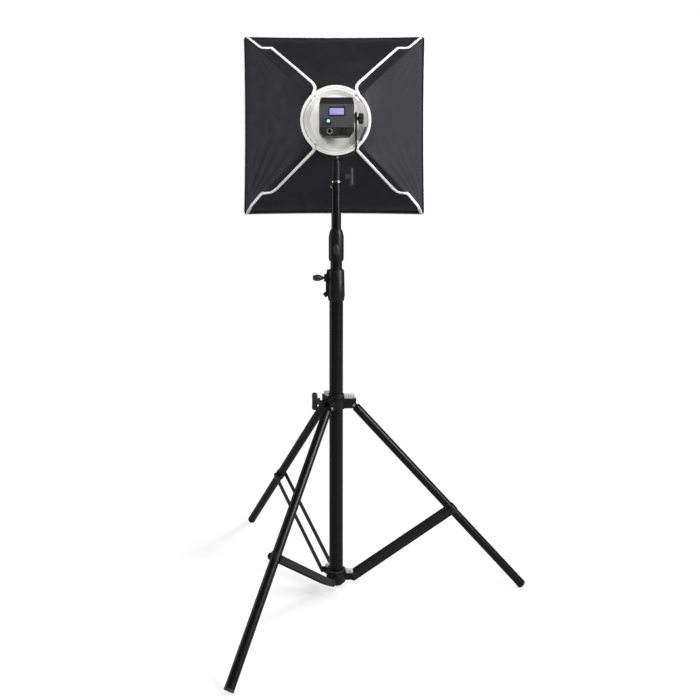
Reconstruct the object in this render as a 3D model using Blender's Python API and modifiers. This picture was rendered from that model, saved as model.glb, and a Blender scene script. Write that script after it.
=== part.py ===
"""Studio softbox: a square pop-up softbox on a small lamp head, carried by a three-section light stand.

Units are metres and +Z is up. The origin is the centre of the flat base of the stand's column. The lamp
shines towards +Y, so the back of the lamp and of the softbox face -Y.
"""

import math

import bmesh
import bpy
from mathutils import Matrix, Vector

MM = 0.001
GAP = 0.3 * MM

# Driving dimensions: stand
FLOOR = -16 * MM
COLUMN_RADIUS = 17.5 * MM
MIDDLE_RADIUS = 15 * MM
UPPER_RADIUS = 12.5 * MM
TUBE_WALL = 1.6 * MM
COLUMN_TOP = 792 * MM
MIDDLE_TOP = 894 * MM
UPPER_TOP = 1026 * MM
SLEEVE_BORE = COLUMN_RADIUS + GAP
PIVOT_RADIUS = 44 * MM
LEG_PIVOT_HEIGHT = 460 * MM
LOCK_HEIGHT = 467 * MM
BASE_PIVOT_HEIGHT = 20 * MM
LEG_RADIUS = 11 * MM
LEG_WALL = 1.4 * MM
LEG_LENGTH = 636 * MM
LEG_LEAN = math.radians(42.8)
LEG_TURN = math.radians(1.5)
BRACE_ALONG_LEG = 371 * MM
STRAP_INNER = 14.6 * MM
STRAP_THICKNESS = 2.5 * MM
PIN_RADIUS = 2.5 * MM
PIN_BORE = PIN_RADIUS + GAP
BUSH_RADIUS = 4 * MM
SCREW_RADIUS = 3 * MM
SCREW_BORE = SCREW_RADIUS + GAP
BOLT_RADIUS = 4 * MM

# Driving dimensions: lamp head
TILT_HEIGHT = 1189.5 * MM
LAMP_WIDTH = 87 * MM
LAMP_HEIGHT = 96 * MM
LAMP_REAR = -46 * MM
LAMP_FRONT = 46 * MM
LAMP_WALL = 2.5 * MM
ARM_X = 50 * MM
ARM_THICKNESS = 4 * MM
ARM_WIDTH = 28 * MM
SOCKET_RADIUS = 11.5 * MM
SOCKET_TOP = 1083 * MM
SPIGOT_RADIUS = 8 * MM
SPIGOT_SEAT = 1030 * MM
HANDLE_HEIGHT = 1041 * MM
MOUNT_RADIUS = 41 * MM

# Driving dimensions: softbox
BOX_WIDTH = 510 * MM
BOX_HEIGHT = 500 * MM
RING_RADIUS = 92 * MM
RING_PLANE = 58 * MM
COVER_BACK = 63 * MM
COVER_SHOULDER = 208 * MM
COVER_RIM = 240 * MM
COVER_THICKNESS = 1.6 * MM
COVER_HOLE = 86 * MM
SHOULDER_INSET = 18 * MM

LETTERS = "abc"
PARTS = "studio_softbox"
CUTTERS = "cutters"


def clear_scene():
    for obj in list(bpy.data.objects):
        bpy.data.objects.remove(obj, do_unlink=True)


def new_collection(name):
    collection = bpy.data.collections.new(name)
    bpy.context.scene.collection.children.link(collection)
    return collection


def principled(name, colour, roughness, metallic=0.0, alpha=1.0, glow=0.0):
    material = bpy.data.materials.new(name)
    material.use_nodes = True
    shader = material.node_tree.nodes["Principled BSDF"]
    shader.inputs["Base Color"].default_value = (*colour, 1.0)
    shader.inputs["Roughness"].default_value = roughness
    shader.inputs["Metallic"].default_value = metallic
    shader.inputs["Alpha"].default_value = alpha
    shader.inputs["Emission Color"].default_value = (*colour, 1.0)
    shader.inputs["Emission Strength"].default_value = glow
    return material


def gloss_black(name):
    return principled(name, (0.012, 0.012, 0.014), 0.22)


def satin_black(name):
    return principled(name, (0.02, 0.02, 0.022), 0.45)


def nylon_white(name):
    return principled(name, (0.85, 0.84, 0.8), 0.5)


def steel(name):
    return principled(name, (0.6, 0.6, 0.6), 0.3, metallic=1.0)


def collection_of(material):
    return bpy.data.collections[PARTS if material else CUTTERS]


def add_object(name, data, material, location=(0, 0, 0), rotation=(0, 0, 0), parent=None):
    """Puts mesh or curve data in the scene. With no material, it is a helper that the result leaves out."""
    obj = bpy.data.objects.new(name, data)
    collection_of(material).objects.link(obj)
    obj.location = location
    obj.rotation_euler = rotation
    obj.parent = parent
    if material:
        data.materials.append(material)
    else:
        obj.hide_render = True
        obj.display_type = "WIRE"
    return obj


def pivot(name, location, rotation=(0, 0, 0), parent=None):
    """An empty on a joint's axis, which carries the pieces that turn there."""
    empty = bpy.data.objects.new(name, None)
    bpy.data.collections[PARTS].objects.link(empty)
    empty.location = location
    empty.rotation_euler = rotation
    empty.parent = parent
    empty.empty_display_size = 0.02
    return empty


def smooth(mesh, angle=40):
    mesh.shade_smooth()
    mesh.set_sharp_from_angle(angle=math.radians(angle))


def block(name, size, material=None, centre=(0, 0, 0), bevel=0.0, segments=2, **place):
    """A box of this size about its centre, in the object's own axes."""
    shape = bmesh.new()
    scale = Matrix.Diagonal((*size, 1.0))
    bmesh.ops.create_cube(shape, size=1.0, matrix=Matrix.Translation(centre) @ scale)
    mesh = bpy.data.meshes.new(name)
    shape.to_mesh(mesh)
    shape.free()
    obj = add_object(name, mesh, material, **place)
    if bevel:
        rounding = obj.modifiers.new("rounded_edges", "BEVEL")
        rounding.width = bevel
        rounding.segments = segments
        rounding.limit_method = "ANGLE"
        smooth(mesh)
    return obj


def along(axis):
    """The rotation that turns +Z onto this axis."""
    return Vector((0, 0, 1)).rotation_difference(Vector(axis)).to_matrix().to_4x4()


def cylinder(name, radius, start, end, material=None, segments=16, top=None, **place):
    """A cylinder between two points, or a cone when the end has its own radius."""
    start, end = Vector(start), Vector(end)
    shape = bmesh.new()
    bmesh.ops.create_cone(
        shape,
        cap_ends=True,
        segments=segments,
        radius1=radius,
        radius2=radius if top is None else top,
        depth=(end - start).length,
        matrix=Matrix.Translation((start + end) / 2) @ along(end - start),
    )
    mesh = bpy.data.meshes.new(name)
    shape.to_mesh(mesh)
    shape.free()
    smooth(mesh)
    return add_object(name, mesh, material, **place)


def turned(name, profile, material=None, steps=24, **place):
    """Turns a profile of (radius, height) points about Z. It closes on itself unless it ends on the axis."""
    on_axis = profile[0][0] == 0 and profile[-1][0] == 0
    edges = [(i, i + 1) for i in range(len(profile) - 1)]
    if not on_axis:
        edges.append((len(profile) - 1, 0))
    mesh = bpy.data.meshes.new(name)
    mesh.from_pydata([(radius, 0, height) for radius, height in profile], edges, [])
    obj = add_object(name, mesh, material, **place)
    screw = obj.modifiers.new("turned", "SCREW")
    screw.axis = "Z"
    screw.steps = steps
    screw.render_steps = steps
    screw.use_merge_vertices = True
    screw.merge_threshold = 0.00001
    screw.use_smooth_shade = True
    return obj


def ring_profile(outer, inner, top, bottom):
    return [(outer, top), (outer, bottom), (inner, bottom), (inner, top)]


def plate(name, outline, thickness, material=None, bevel=0.0, **place):
    """A flat outline in the object's XY plane, extruded evenly to both sides of it."""
    curve = bpy.data.curves.new(name + "_outline", "CURVE")
    curve.dimensions = "2D"
    curve.fill_mode = "BOTH"
    curve.extrude = thickness / 2
    spline = curve.splines.new("POLY")
    spline.points.add(len(outline) - 1)
    for point, (x, y) in zip(spline.points, outline):
        point.co = (x, y, 0, 1)
    spline.use_cyclic_u = True
    mesh = mesh_of_curve(name, curve)
    obj = add_object(name, mesh, material, **place)
    if bevel:
        rounding = obj.modifiers.new("rounded_edges", "BEVEL")
        rounding.width = bevel
        rounding.segments = 1
        rounding.limit_method = "ANGLE"
        rounding.angle_limit = math.radians(50)
    smooth(mesh)
    return obj


def mesh_of_curve(name, curve):
    """Makes a welded mesh of a curve, so that it can be cut and joined."""
    guide = bpy.data.objects.new(name + "_guide", curve)
    bpy.context.scene.collection.objects.link(guide)
    graph = bpy.context.evaluated_depsgraph_get()
    mesh = bpy.data.meshes.new_from_object(guide.evaluated_get(graph))
    bpy.data.objects.remove(guide, do_unlink=True)
    shape = bmesh.new()
    shape.from_mesh(mesh)
    bmesh.ops.remove_doubles(shape, verts=shape.verts, dist=0.000005)
    bmesh.ops.recalc_face_normals(shape, faces=shape.faces)
    shape.to_mesh(mesh)
    shape.free()
    mesh.name = name
    mesh.materials.clear()
    return mesh


def combine(obj, operation, *helpers):
    for helper in helpers:
        boolean = obj.modifiers.new(helper.name, "BOOLEAN")
        boolean.operation = operation
        boolean.solver = "EXACT"
        boolean.object = helper
    return obj


def join(obj, *helpers):
    return combine(obj, "UNION", *helpers)


def cut(obj, *helpers):
    return combine(obj, "DIFFERENCE", *helpers)


def arc(centre, radius, start, end, count):
    """Points along an arc, with angles in degrees."""
    angles = [math.radians(start + (end - start) * i / count) for i in range(count + 1)]
    return [(centre[0] + radius * math.cos(a), centre[1] + radius * math.sin(a)) for a in angles]


def lug_outline(root, tip, height, radius):
    """A tongue that runs out from the column to a round end."""
    return [(root, height + radius), (root, height - radius)] + arc((tip, height), radius, -90, 90, 6)


def lobes(radius, depth, count, points=4):
    """A hand knob's outline, with this many finger lobes."""
    total = count * points
    turns = [2 * math.pi * i / total for i in range(total)]
    reaches = [radius + depth * math.cos(count * turn) for turn in turns]
    return [(reach * math.cos(turn), reach * math.sin(turn)) for reach, turn in zip(reaches, turns)]


def oval(wide, high, count=20):
    """A rounded oval, a little fuller than an ellipse."""
    fullness = 0.85
    points = []
    for index in range(count):
        x, y = math.cos(math.tau * index / count), math.sin(math.tau * index / count)
        points.append((math.copysign(abs(x) ** fullness, x), math.copysign(abs(y) ** fullness, y)))
    return [(x * wide / 2, y * high / 2) for x, y in points]


UPRIGHT = (math.pi / 2, 0, 0)
TO_LEFT = (0, -math.pi / 2, 0)
TO_RIGHT = (0, math.pi / 2, 0)
TO_BACK = UPRIGHT
TO_FRONT = (-math.pi / 2, 0, 0)


def leg_azimuths():
    return [LEG_TURN + index * math.tau / 3 for index in range(3)]


# ---------------------------------------------------------------- stand column


def column():
    tube = ring_profile(COLUMN_RADIUS, COLUMN_RADIUS - TUBE_WALL, COLUMN_TOP, 4 * MM + GAP)
    turned("column_tube", tube, gloss_black("column_tube"))
    plug = COLUMN_RADIUS - TUBE_WALL - GAP
    cap = [
        (0, 18 * MM),
        (plug, 18 * MM),
        (plug, 4 * MM),
        (COLUMN_RADIUS, 4 * MM),
        (COLUMN_RADIUS, 0.8 * MM),
        (COLUMN_RADIUS - 0.8 * MM, 0),
        (0, 0),
    ]
    turned("column_base_cap", cap, principled("column_base_cap", (0.02, 0.02, 0.02), 0.8))


def middle_section():
    bottom = 80 * MM
    bore = MIDDLE_RADIUS - TUBE_WALL
    turned("middle_tube", ring_profile(MIDDLE_RADIUS, bore, MIDDLE_TOP, bottom), gloss_black("middle_tube"))
    slider = [
        (bore - GAP, bottom + 15 * MM),
        (bore - GAP, bottom - GAP),
        (MIDDLE_RADIUS + 0.5 * MM, bottom - GAP),
        (MIDDLE_RADIUS + 0.5 * MM, bottom - 8 * MM),
        (bore - 2 * MM, bottom - 8 * MM),
        (bore - 2 * MM, bottom + 15 * MM),
    ]
    turned("middle_tube_slider", slider, nylon_white("middle_tube_slider"), steps=20)


def upper_section():
    bottom = 200 * MM
    bore = UPPER_RADIUS - TUBE_WALL
    outline = ring_profile(UPPER_RADIUS, bore, UPPER_TOP, bottom)
    tube = turned("upper_tube", outline, gloss_black("upper_tube"))
    screw_height = 1016 * MM
    outward = Vector((-math.cos(0.35), -math.sin(0.35), 0))
    at = Vector((0, 0, screw_height))
    hole = cylinder("spigot_screw_hole", SCREW_BORE, at + outward * 5 * MM, at + outward * 20 * MM)
    cut(tube, hole)
    screw = cylinder(
        "spigot_screw",
        SCREW_RADIUS,
        at + outward * 7.4 * MM,
        at + outward * 14 * MM,
        steel("spigot_screw"),
        segments=16,
    )
    head = cylinder(
        "spigot_screw_head",
        5 * MM,
        at + outward * (UPPER_RADIUS + GAP),
        at + outward * (UPPER_RADIUS + 2.5 * MM),
        segments=16,
        top=3.5 * MM,
    )
    join(screw, head)
    shank = bore - GAP
    spigot = [
        (0, 1074 * MM),
        (SPIGOT_RADIUS - MM, 1074 * MM),
        (SPIGOT_RADIUS, 1072 * MM),
        (SPIGOT_RADIUS, 1050 * MM),
        (SPIGOT_RADIUS - 1.5 * MM, 1046 * MM),
        (SPIGOT_RADIUS - 1.5 * MM, 1036 * MM),
        (SPIGOT_RADIUS, 1032 * MM),
        (SPIGOT_RADIUS, SPIGOT_SEAT - GAP),
        (UPPER_RADIUS, SPIGOT_SEAT - GAP),
        (UPPER_RADIUS, UPPER_TOP + GAP),
        (shank, UPPER_TOP + GAP),
        (shank, UPPER_TOP - 30 * MM),
        (0, UPPER_TOP - 30 * MM),
    ]
    post = turned("spigot", spigot, steel("spigot"), steps=20)
    thread = cylinder("spigot_thread", 4 * MM, at + outward * 6.5 * MM, at + outward * 20 * MM)
    cut(post, thread)


# ---------------------------------------------------------------- clamp collars


def clamp_knob(name, location, rotation):
    """An oval hand knob on a threaded stem, which points out along its own +Z."""
    length = 23.5 * MM
    knob = plate(name, oval(16 * MM, 30 * MM), length, satin_black(name), 2.5 * MM)
    knob.location = location
    knob.rotation_euler = rotation
    inside = (0, 0, MM - length / 2)
    stem = cylinder(name + "_stem", SCREW_RADIUS, (0, 0, -26 * MM), inside, segments=14, parent=knob)
    neck = cylinder(name + "_neck", 5 * MM, (0, 0, -14 * MM), inside, segments=14, parent=knob)
    join(knob, neck, stem)


def lower_clamp():
    top, bottom = 805 * MM, 725.5 * MM
    seat = COLUMN_TOP + GAP
    body = [
        (18 * MM, top),
        (20.5 * MM, top - 4 * MM),
        (21 * MM, top - 30 * MM),
        (22 * MM, bottom + 12 * MM),
        (20 * MM, bottom),
        (SLEEVE_BORE, bottom),
        (SLEEVE_BORE, seat),
        (MIDDLE_RADIUS + 0.5 * MM, seat),
        (MIDDLE_RADIUS + 0.5 * MM, top),
    ]
    collar = turned("lower_clamp_collar", body, satin_black("lower_clamp_collar"))
    ear = [
        (-18.6 * MM, top - MM),
        (-23.6 * MM, top - MM),
        (-24.4 * MM, top - 9 * MM),
        (-26.6 * MM, top - 15 * MM),
        (-26.6 * MM, bottom + 20 * MM),
        (-21 * MM, bottom + 11 * MM),
        (-18.6 * MM, bottom + 2 * MM),
    ]
    ears = plate("lower_clamp_ears", ear, 18 * MM, rotation=UPRIGHT)
    knob_height = 783 * MM
    boss = cylinder("lower_clamp_boss", 10 * MM, (-24 * MM, 0, knob_height), (-31 * MM, 0, knob_height))
    bolt_at = Vector((-29 * MM, 0, 739 * MM))
    outward = Vector((-0.82, 0, -0.57)).normalized()
    seat_end = bolt_at - outward * 2.5 * MM
    bolt_seat = cylinder("lower_clamp_bolt_seat", 6.5 * MM, bolt_at - outward * 7 * MM, seat_end)
    join(collar, ears, boss, bolt_seat)
    split = block("lower_clamp_split", (24 * MM, 1.5 * MM, 48 * MM), centre=(-28 * MM, 0, bottom + 21 * MM))
    bore = cylinder("lower_clamp_bore", SCREW_BORE, (-16 * MM, 0, knob_height), (-40 * MM, 0, knob_height))
    bolt_start, bolt_end = bolt_at - outward * 10 * MM, bolt_at + outward * 10 * MM
    bolt_bore = cylinder("lower_clamp_bolt_bore", SCREW_BORE, bolt_start, bolt_end)
    cut(collar, split, bore, bolt_bore)
    lower_clamp_bolt(bolt_at, outward)
    clamp_knob("lower_clamp_knob", (-48 * MM, 0, knob_height), TO_LEFT)


def lower_clamp_bolt(at, outward):
    """A hexagon bolt, given by the middle of its head."""
    name = "lower_clamp_bolt"
    half_head = 2.2 * MM
    shank = cylinder(name, SCREW_RADIUS, at - outward * 9 * MM, at, satin_black(name))
    head = cylinder(name + "_head", 6.5 * MM, at - outward * half_head, at + outward * half_head, segments=6)
    join(shank, head)


def upper_clamp():
    top, bottom = 907 * MM, 826.5 * MM
    body = [
        (14 * MM, top),
        (17 * MM, top - 7 * MM),
        (19.3 * MM, top - 20 * MM),
        (19.3 * MM, bottom + 8 * MM),
        (18 * MM, bottom),
        (MIDDLE_RADIUS + GAP, bottom),
        (MIDDLE_RADIUS + GAP, MIDDLE_TOP + GAP),
        (UPPER_RADIUS + GAP, MIDDLE_TOP + GAP),
        (UPPER_RADIUS + GAP, top),
    ]
    collar = turned("upper_clamp_collar", body, satin_black("upper_clamp_collar"))
    knob_height = 858.5 * MM
    boss = cylinder("upper_clamp_boss", 8 * MM, (0, -17 * MM, knob_height), (0, -24 * MM, knob_height))
    join(collar, boss)
    bore = cylinder("upper_clamp_bore", SCREW_BORE, (0, -13 * MM, knob_height), (0, -30 * MM, knob_height))
    cut(collar, bore)
    clamp_knob("upper_clamp_knob", (0, -42 * MM, knob_height), TO_BACK)


# ---------------------------------------------------------------- folding base


def leg_frame(index):
    return pivot("azimuth_" + LETTERS[index], (0, 0, 0), (0, 0, leg_azimuths()[index]))


def ear_outline(height):
    """One side of a leg's fork: flat on top, with a raised tip and a rounded lower corner."""
    top = height + 15 * MM
    tip = PIVOT_RADIUS + 6.5 * MM
    corner = arc((PIVOT_RADIUS, height - 2 * MM), 6.5 * MM, -90, 0, 4)
    raised = [(tip, top + 2 * MM), (tip - 3 * MM, top + 2 * MM), (tip - 4.5 * MM, top)]
    return [(21 * MM, top), (21 * MM, height - 8.5 * MM)] + corner + raised


def leg_collar(frames):
    height = LEG_PIVOT_HEIGHT
    body = [
        (19.3 * MM, height + 28 * MM),
        (19.8 * MM, height + 26.5 * MM),
        (19.8 * MM, height + 16.5 * MM),
        (24.5 * MM, height + 15 * MM),
        (24.5 * MM, height - 8 * MM),
        (22.5 * MM, height - 9.7 * MM),
        (SLEEVE_BORE, height - 9.7 * MM),
        (SLEEVE_BORE, height + 28 * MM),
    ]
    collar = turned("leg_collar", body, satin_black("leg_collar"))
    for index, frame in enumerate(frames):
        letter = LETTERS[index]
        for side in (-1, 1):
            ear = plate(f"leg_ear_{letter}{side}", ear_outline(height), 4.6 * MM, parent=frame)
            ear.location = (0, side * 8.7 * MM, 0)
            ear.rotation_euler = UPRIGHT
            join(collar, ear)
    boss = cylinder("leg_collar_boss", 7.5 * MM, (-23 * MM, 0, LOCK_HEIGHT), (-34 * MM, 0, LOCK_HEIGHT))
    join(collar, boss)
    for index, frame in enumerate(frames):
        pin_hole = cylinder(
            "leg_pin_hole_" + LETTERS[index],
            PIN_BORE,
            (PIVOT_RADIUS, -16 * MM, height),
            (PIVOT_RADIUS, 16 * MM, height),
            parent=frame,
        )
        cut(collar, pin_hole)
    bore = cylinder("leg_collar_bore", SCREW_BORE, (-16 * MM, 0, LOCK_HEIGHT), (-40 * MM, 0, LOCK_HEIGHT))
    cut(collar, bore)


def rivet(name, half_length, head_radius, head_height, segments=12):
    """Two heads and a shank along the object's own Y."""
    reach = half_length + head_height
    profile = [
        (0, reach),
        (head_radius * 0.7, reach),
        (head_radius, half_length),
        (PIN_RADIUS, half_length),
        (PIN_RADIUS, -half_length),
        (head_radius, -half_length),
        (head_radius * 0.7, -reach),
        (0, -reach),
    ]
    return turned(name, profile, steel(name), steps=segments, rotation=UPRIGHT)


def leg_pin(index, frame):
    pin = rivet("leg_pivot_" + LETTERS[index], 11 * MM + GAP, 4.5 * MM, 2 * MM)
    pin.parent = frame
    pin.location = (PIVOT_RADIUS, 0, LEG_PIVOT_HEIGHT)


def leg_parts(index, frame):
    """The leg hangs from its hinge down its own -Z, and the hinge turns about its own Y."""
    letter = LETTERS[index]
    hinge = pivot("leg_hinge_" + letter, (PIVOT_RADIUS, 0, LEG_PIVOT_HEIGHT), (0, -LEG_LEAN, 0), frame)
    bore = LEG_RADIUS - LEG_WALL
    tube_top = -12 * MM
    tube = ring_profile(LEG_RADIUS, bore, tube_top, -LEG_LENGTH)
    turned("leg_" + letter, tube, gloss_black("leg_" + letter), steps=20, parent=hinge)
    leg_plug(letter, hinge, bore, tube_top)
    leg_clip(letter, hinge)
    foot(letter, hinge)


def leg_plug(letter, hinge, bore, tube_top):
    name = "leg_plug_" + letter
    flange = tube_top + 2 * MM
    outline = [(-6 * MM, flange - MM), (6 * MM, flange - MM)] + arc((0, 0), 6 * MM, 0, 180, 6)
    tongue = plate(name, outline, 12 * MM, satin_black(name), rotation=UPRIGHT, parent=hinge)
    seat = tube_top + GAP
    stem = [
        (0, flange),
        (LEG_RADIUS, flange),
        (LEG_RADIUS, seat),
        (bore - GAP, seat),
        (bore - GAP, tube_top - 22 * MM),
        (0, tube_top - 22 * MM),
    ]
    join(tongue, turned(name + "_stem", stem, steps=16, parent=hinge))
    cut(tongue, cylinder(name + "_bore", PIN_BORE, (0, -9 * MM, 0), (0, 9 * MM, 0), parent=hinge))


def leg_clip(letter, hinge):
    name = "leg_clip_" + letter
    band = ring_profile(13 * MM, LEG_RADIUS + GAP, 9 * MM, -9 * MM)
    clip = turned(name, band, satin_black(name), steps=20, parent=hinge, location=(0, 0, -BRACE_ALONG_LEG))
    for side in (-1, 1):
        stud = cylinder(
            f"{name}_stud_{side}",
            4.5 * MM,
            (0, side * 12.2 * MM, -BRACE_ALONG_LEG),
            (0, side * (STRAP_INNER - GAP), -BRACE_ALONG_LEG),
            segments=10,
            parent=hinge,
        )
        join(clip, stud)


def foot(letter, hinge):
    """A rubber plug in the end of the leg, as wide as the leg and worn flat where it meets the floor."""
    name = "foot_" + letter
    stem = LEG_RADIUS - LEG_WALL - GAP
    flange = LEG_RADIUS + 0.3 * MM
    seat = -LEG_LENGTH - GAP
    end = -LEG_LENGTH - 4.7 * MM
    profile = [
        (0, seat + 14 * MM),
        (stem, seat + 14 * MM),
        (stem, seat),
        (flange, seat),
        (flange, end + 0.5 * MM),
        (flange - 0.5 * MM, end),
        (0, end),
    ]
    rubber = principled(name, (0.02, 0.02, 0.02), 0.75)
    plug = turned(name, profile, rubber, steps=20, parent=hinge)
    reach = PIVOT_RADIUS + LEG_LENGTH * math.sin(LEG_LEAN)
    size = (80 * MM, 60 * MM, 30 * MM)
    worn = block(name + "_floor", size, centre=(reach, 0, FLOOR - size[2] / 2), parent=hinge.parent)
    cut(plug, worn)


def base_collar(frames):
    rim = 36 * MM
    body = [
        (24.5 * MM, rim),
        (24.5 * MM, 9 * MM),
        (23 * MM, 6 * MM),
        (SLEEVE_BORE, 6 * MM),
        (SLEEVE_BORE, 27 * MM),
        (23.2 * MM, 27 * MM),
        (23.2 * MM, rim),
    ]
    collar = turned("base_collar", body, satin_black("base_collar"))
    lugs = []
    holes = []
    for index, frame in enumerate(frames):
        letter = LETTERS[index]
        outline = lug_outline(21 * MM, PIVOT_RADIUS - 1.5 * MM, BASE_PIVOT_HEIGHT - MM, 7.4 * MM)
        lugs.append(plate("base_lug_" + letter, outline, 20 * MM, rotation=UPRIGHT, parent=frame))
        start = Vector((PIVOT_RADIUS, -15 * MM, BASE_PIVOT_HEIGHT))
        end = Vector((PIVOT_RADIUS, 15 * MM, BASE_PIVOT_HEIGHT))
        holes.append(cylinder("base_lug_bore_" + letter, BUSH_RADIUS + GAP, start, end, parent=frame))
    join(collar, *lugs)
    cut(collar, *holes)


def base_bush(index, frame):
    """A bush through the lug, whose flanges keep the two straps apart."""
    name = "base_bush_" + LETTERS[index]
    inner = 10 * MM + GAP
    outer = STRAP_INNER - GAP
    profile = [
        (7 * MM, outer),
        (7 * MM, inner),
        (BUSH_RADIUS, inner),
        (BUSH_RADIUS, -inner),
        (7 * MM, -inner),
        (7 * MM, -outer),
        (PIN_BORE, -outer),
        (PIN_BORE, outer),
    ]
    bush = turned(name, profile, satin_black(name), steps=16, rotation=UPRIGHT, parent=frame)
    bush.location = (PIVOT_RADIUS, 0, BASE_PIVOT_HEIGHT)


def brace(index, frame):
    """Two flat straps on one rivet. They run up their own +Z to the studs on the leg's clip."""
    name = "brace_" + LETTERS[index]
    rise = LEG_PIVOT_HEIGHT - BRACE_ALONG_LEG * math.cos(LEG_LEAN) - BASE_PIVOT_HEIGHT
    run = BRACE_ALONG_LEG * math.sin(LEG_LEAN)
    length = math.hypot(run, rise)
    hinge = pivot("brace_hinge_" + LETTERS[index], (PIVOT_RADIUS, 0, BASE_PIVOT_HEIGHT), parent=frame)
    hinge.rotation_euler = (0, math.atan2(run, rise), 0)
    outline = arc((0, 0), 7 * MM, 180, 360, 5) + arc((0, length), 7 * MM, 0, 180, 5)
    body = rivet(name, STRAP_INNER + STRAP_THICKNESS - 0.4 * MM, 5 * MM, 2.4 * MM)
    body.data.materials.clear()
    body.data.materials.append(satin_black(name))
    body.parent = hinge
    for side in (-1, 1):
        middle = side * (STRAP_INNER + STRAP_THICKNESS / 2)
        strap = plate(f"{name}_strap_{side}", outline, STRAP_THICKNESS, rotation=UPRIGHT, parent=hinge)
        strap.location = (0, middle, 0)
        outer = side * (STRAP_INNER + STRAP_THICKNESS - 0.4 * MM)
        end_rivet = cylinder(
            f"{name}_end_rivet_{side}",
            5 * MM,
            (0, outer, length),
            (0, outer + side * 2.4 * MM, length),
            segments=10,
            top=3.5 * MM,
            parent=hinge,
        )
        join(body, strap, end_rivet)


def t_knob(name, stem, bar, thickness, location, rotation):
    """A T-shaped lock knob: a threaded stem down its own -Z, and a bar along its own X."""
    size = (bar, thickness - 2 * MM, thickness)
    knob = block(name, size, satin_black(name), (0, 0, 14 * MM), 2.5 * MM)
    knob.location = location
    knob.rotation_euler = rotation
    hub = cylinder(name + "_hub", 7 * MM, (0, 0, 0), (0, 0, 12 * MM), segments=18, top=5.5 * MM, parent=knob)
    screw = cylinder(name + "_screw", SCREW_RADIUS, (0, 0, -stem), (0, 0, 4 * MM), segments=14, parent=knob)
    return join(knob, hub, screw)


def folding_base():
    frames = [leg_frame(index) for index in range(3)]
    leg_collar(frames)
    base_collar(frames)
    t_knob("leg_collar_knob", 24 * MM, 46 * MM, 12.5 * MM, (-43 * MM, 0, LOCK_HEIGHT), TO_LEFT)
    for index, frame in enumerate(frames):
        leg_pin(index, frame)
        leg_parts(index, frame)
        base_bush(index, frame)
        brace(index, frame)


# ---------------------------------------------------------------- yoke


def strap_outline(path, thickness):
    """Both sides of a path of (x, z) points, set off by half the thickness with mitred corners."""
    sides = [[], []]
    for index, point in enumerate(path):
        before = Vector(path[max(index - 1, 0)])
        after = Vector(path[min(index + 1, len(path) - 1)])
        here = Vector(point)
        ways = [w.normalized() for w in (here - before, after - here) if w.length > 0]
        way = sum(ways, Vector((0, 0))).normalized()
        normal = Vector((-way.y, way.x))
        mitre = thickness / 2 / abs(normal.dot(Vector((-ways[0].y, ways[0].x))))
        sides[0].append(here + normal * mitre)
        sides[1].append(here - normal * mitre)
    return [tuple(p) for p in sides[0] + sides[1][::-1]]


def yoke():
    middle = SOCKET_TOP + GAP + ARM_THICKNESS / 2
    bend = 32 * MM
    path = [(-14 * MM, middle)]
    path += arc((ARM_X - bend, middle + bend), bend, -90, 0, 8)
    path += [(ARM_X, TILT_HEIGHT + 15 * MM)]
    outline = strap_outline(path, ARM_THICKNESS)
    arm = plate("yoke_arm", outline, ARM_WIDTH, satin_black("yoke_arm"), rotation=UPRIGHT)
    below, above = (0, 0, SOCKET_TOP - 5 * MM), (0, 0, SOCKET_TOP + 9 * MM)
    bolt_hole = cylinder("yoke_bolt_hole", BOLT_RADIUS + GAP, below, above)
    inside, outside = (ARM_X - 9 * MM, 0, TILT_HEIGHT), (ARM_X + 9 * MM, 0, TILT_HEIGHT)
    tilt_hole = cylinder("yoke_tilt_hole", BOLT_RADIUS + GAP, inside, outside)
    cut(arm, bolt_hole, tilt_hole)
    socket_profile = [
        (0, SOCKET_TOP),
        (SOCKET_RADIUS, SOCKET_TOP),
        (SOCKET_RADIUS, SPIGOT_SEAT),
        (SPIGOT_RADIUS + GAP, SPIGOT_SEAT),
        (SPIGOT_RADIUS + GAP, 1075 * MM),
        (0, 1075 * MM),
    ]
    socket = turned("yoke_socket", socket_profile, satin_black("yoke_socket"), steps=24)
    boss = cylinder("yoke_socket_boss", 6.5 * MM, (9.5 * MM, 0, HANDLE_HEIGHT), (17 * MM, 0, HANDLE_HEIGHT))
    near, far = (5 * MM, 0, HANDLE_HEIGHT), (20 * MM, 0, HANDLE_HEIGHT)
    handle_bore = cylinder("socket_handle_bore", SCREW_BORE, near, far)
    top = SOCKET_TOP + ARM_THICKNESS + 2 * GAP
    neck = cylinder("yoke_neck", BOLT_RADIUS, (0, 0, SOCKET_TOP - 3 * MM), (0, 0, top + 2 * MM), segments=18)
    head = cylinder("yoke_neck_head", 7 * MM, (0, 0, top), (0, 0, top + 4.5 * MM), segments=6)
    join(socket, boss, neck, head)
    cut(socket, handle_bore)
    t_knob("socket_handle", 14.5 * MM, 48 * MM, 15 * MM, (24 * MM, 0, HANDLE_HEIGHT), TO_RIGHT)


def tilt_knob():
    """A lobed knob outside the yoke arm, whose stem clamps the lamp against the arm."""
    knob = plate("tilt_knob", lobes(12.6 * MM, 1.5 * MM, 7), 13 * MM, satin_black("tilt_knob"), 1.6 * MM)
    knob.location = (63 * MM, 0, TILT_HEIGHT)
    knob.rotation_euler = TO_RIGHT
    collar = cylinder("tilt_knob_collar", 8 * MM, (0, 0, -10.4 * MM), (0, 0, -6 * MM), parent=knob)
    stem = cylinder("tilt_knob_stem", BOLT_RADIUS, (0, 0, -26 * MM), (0, 0, -6 * MM), parent=knob)
    join(knob, collar, stem)
    washer = ring_profile(12 * MM, BOLT_RADIUS + GAP, 1.8 * MM, -1.8 * MM)
    disc = turned("tilt_washer", washer, steel("tilt_washer"), steps=24, rotation=TO_RIGHT)
    disc.location = ((LAMP_WIDTH / 2 + ARM_X - ARM_THICKNESS / 2) / 2, 0, TILT_HEIGHT)


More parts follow.
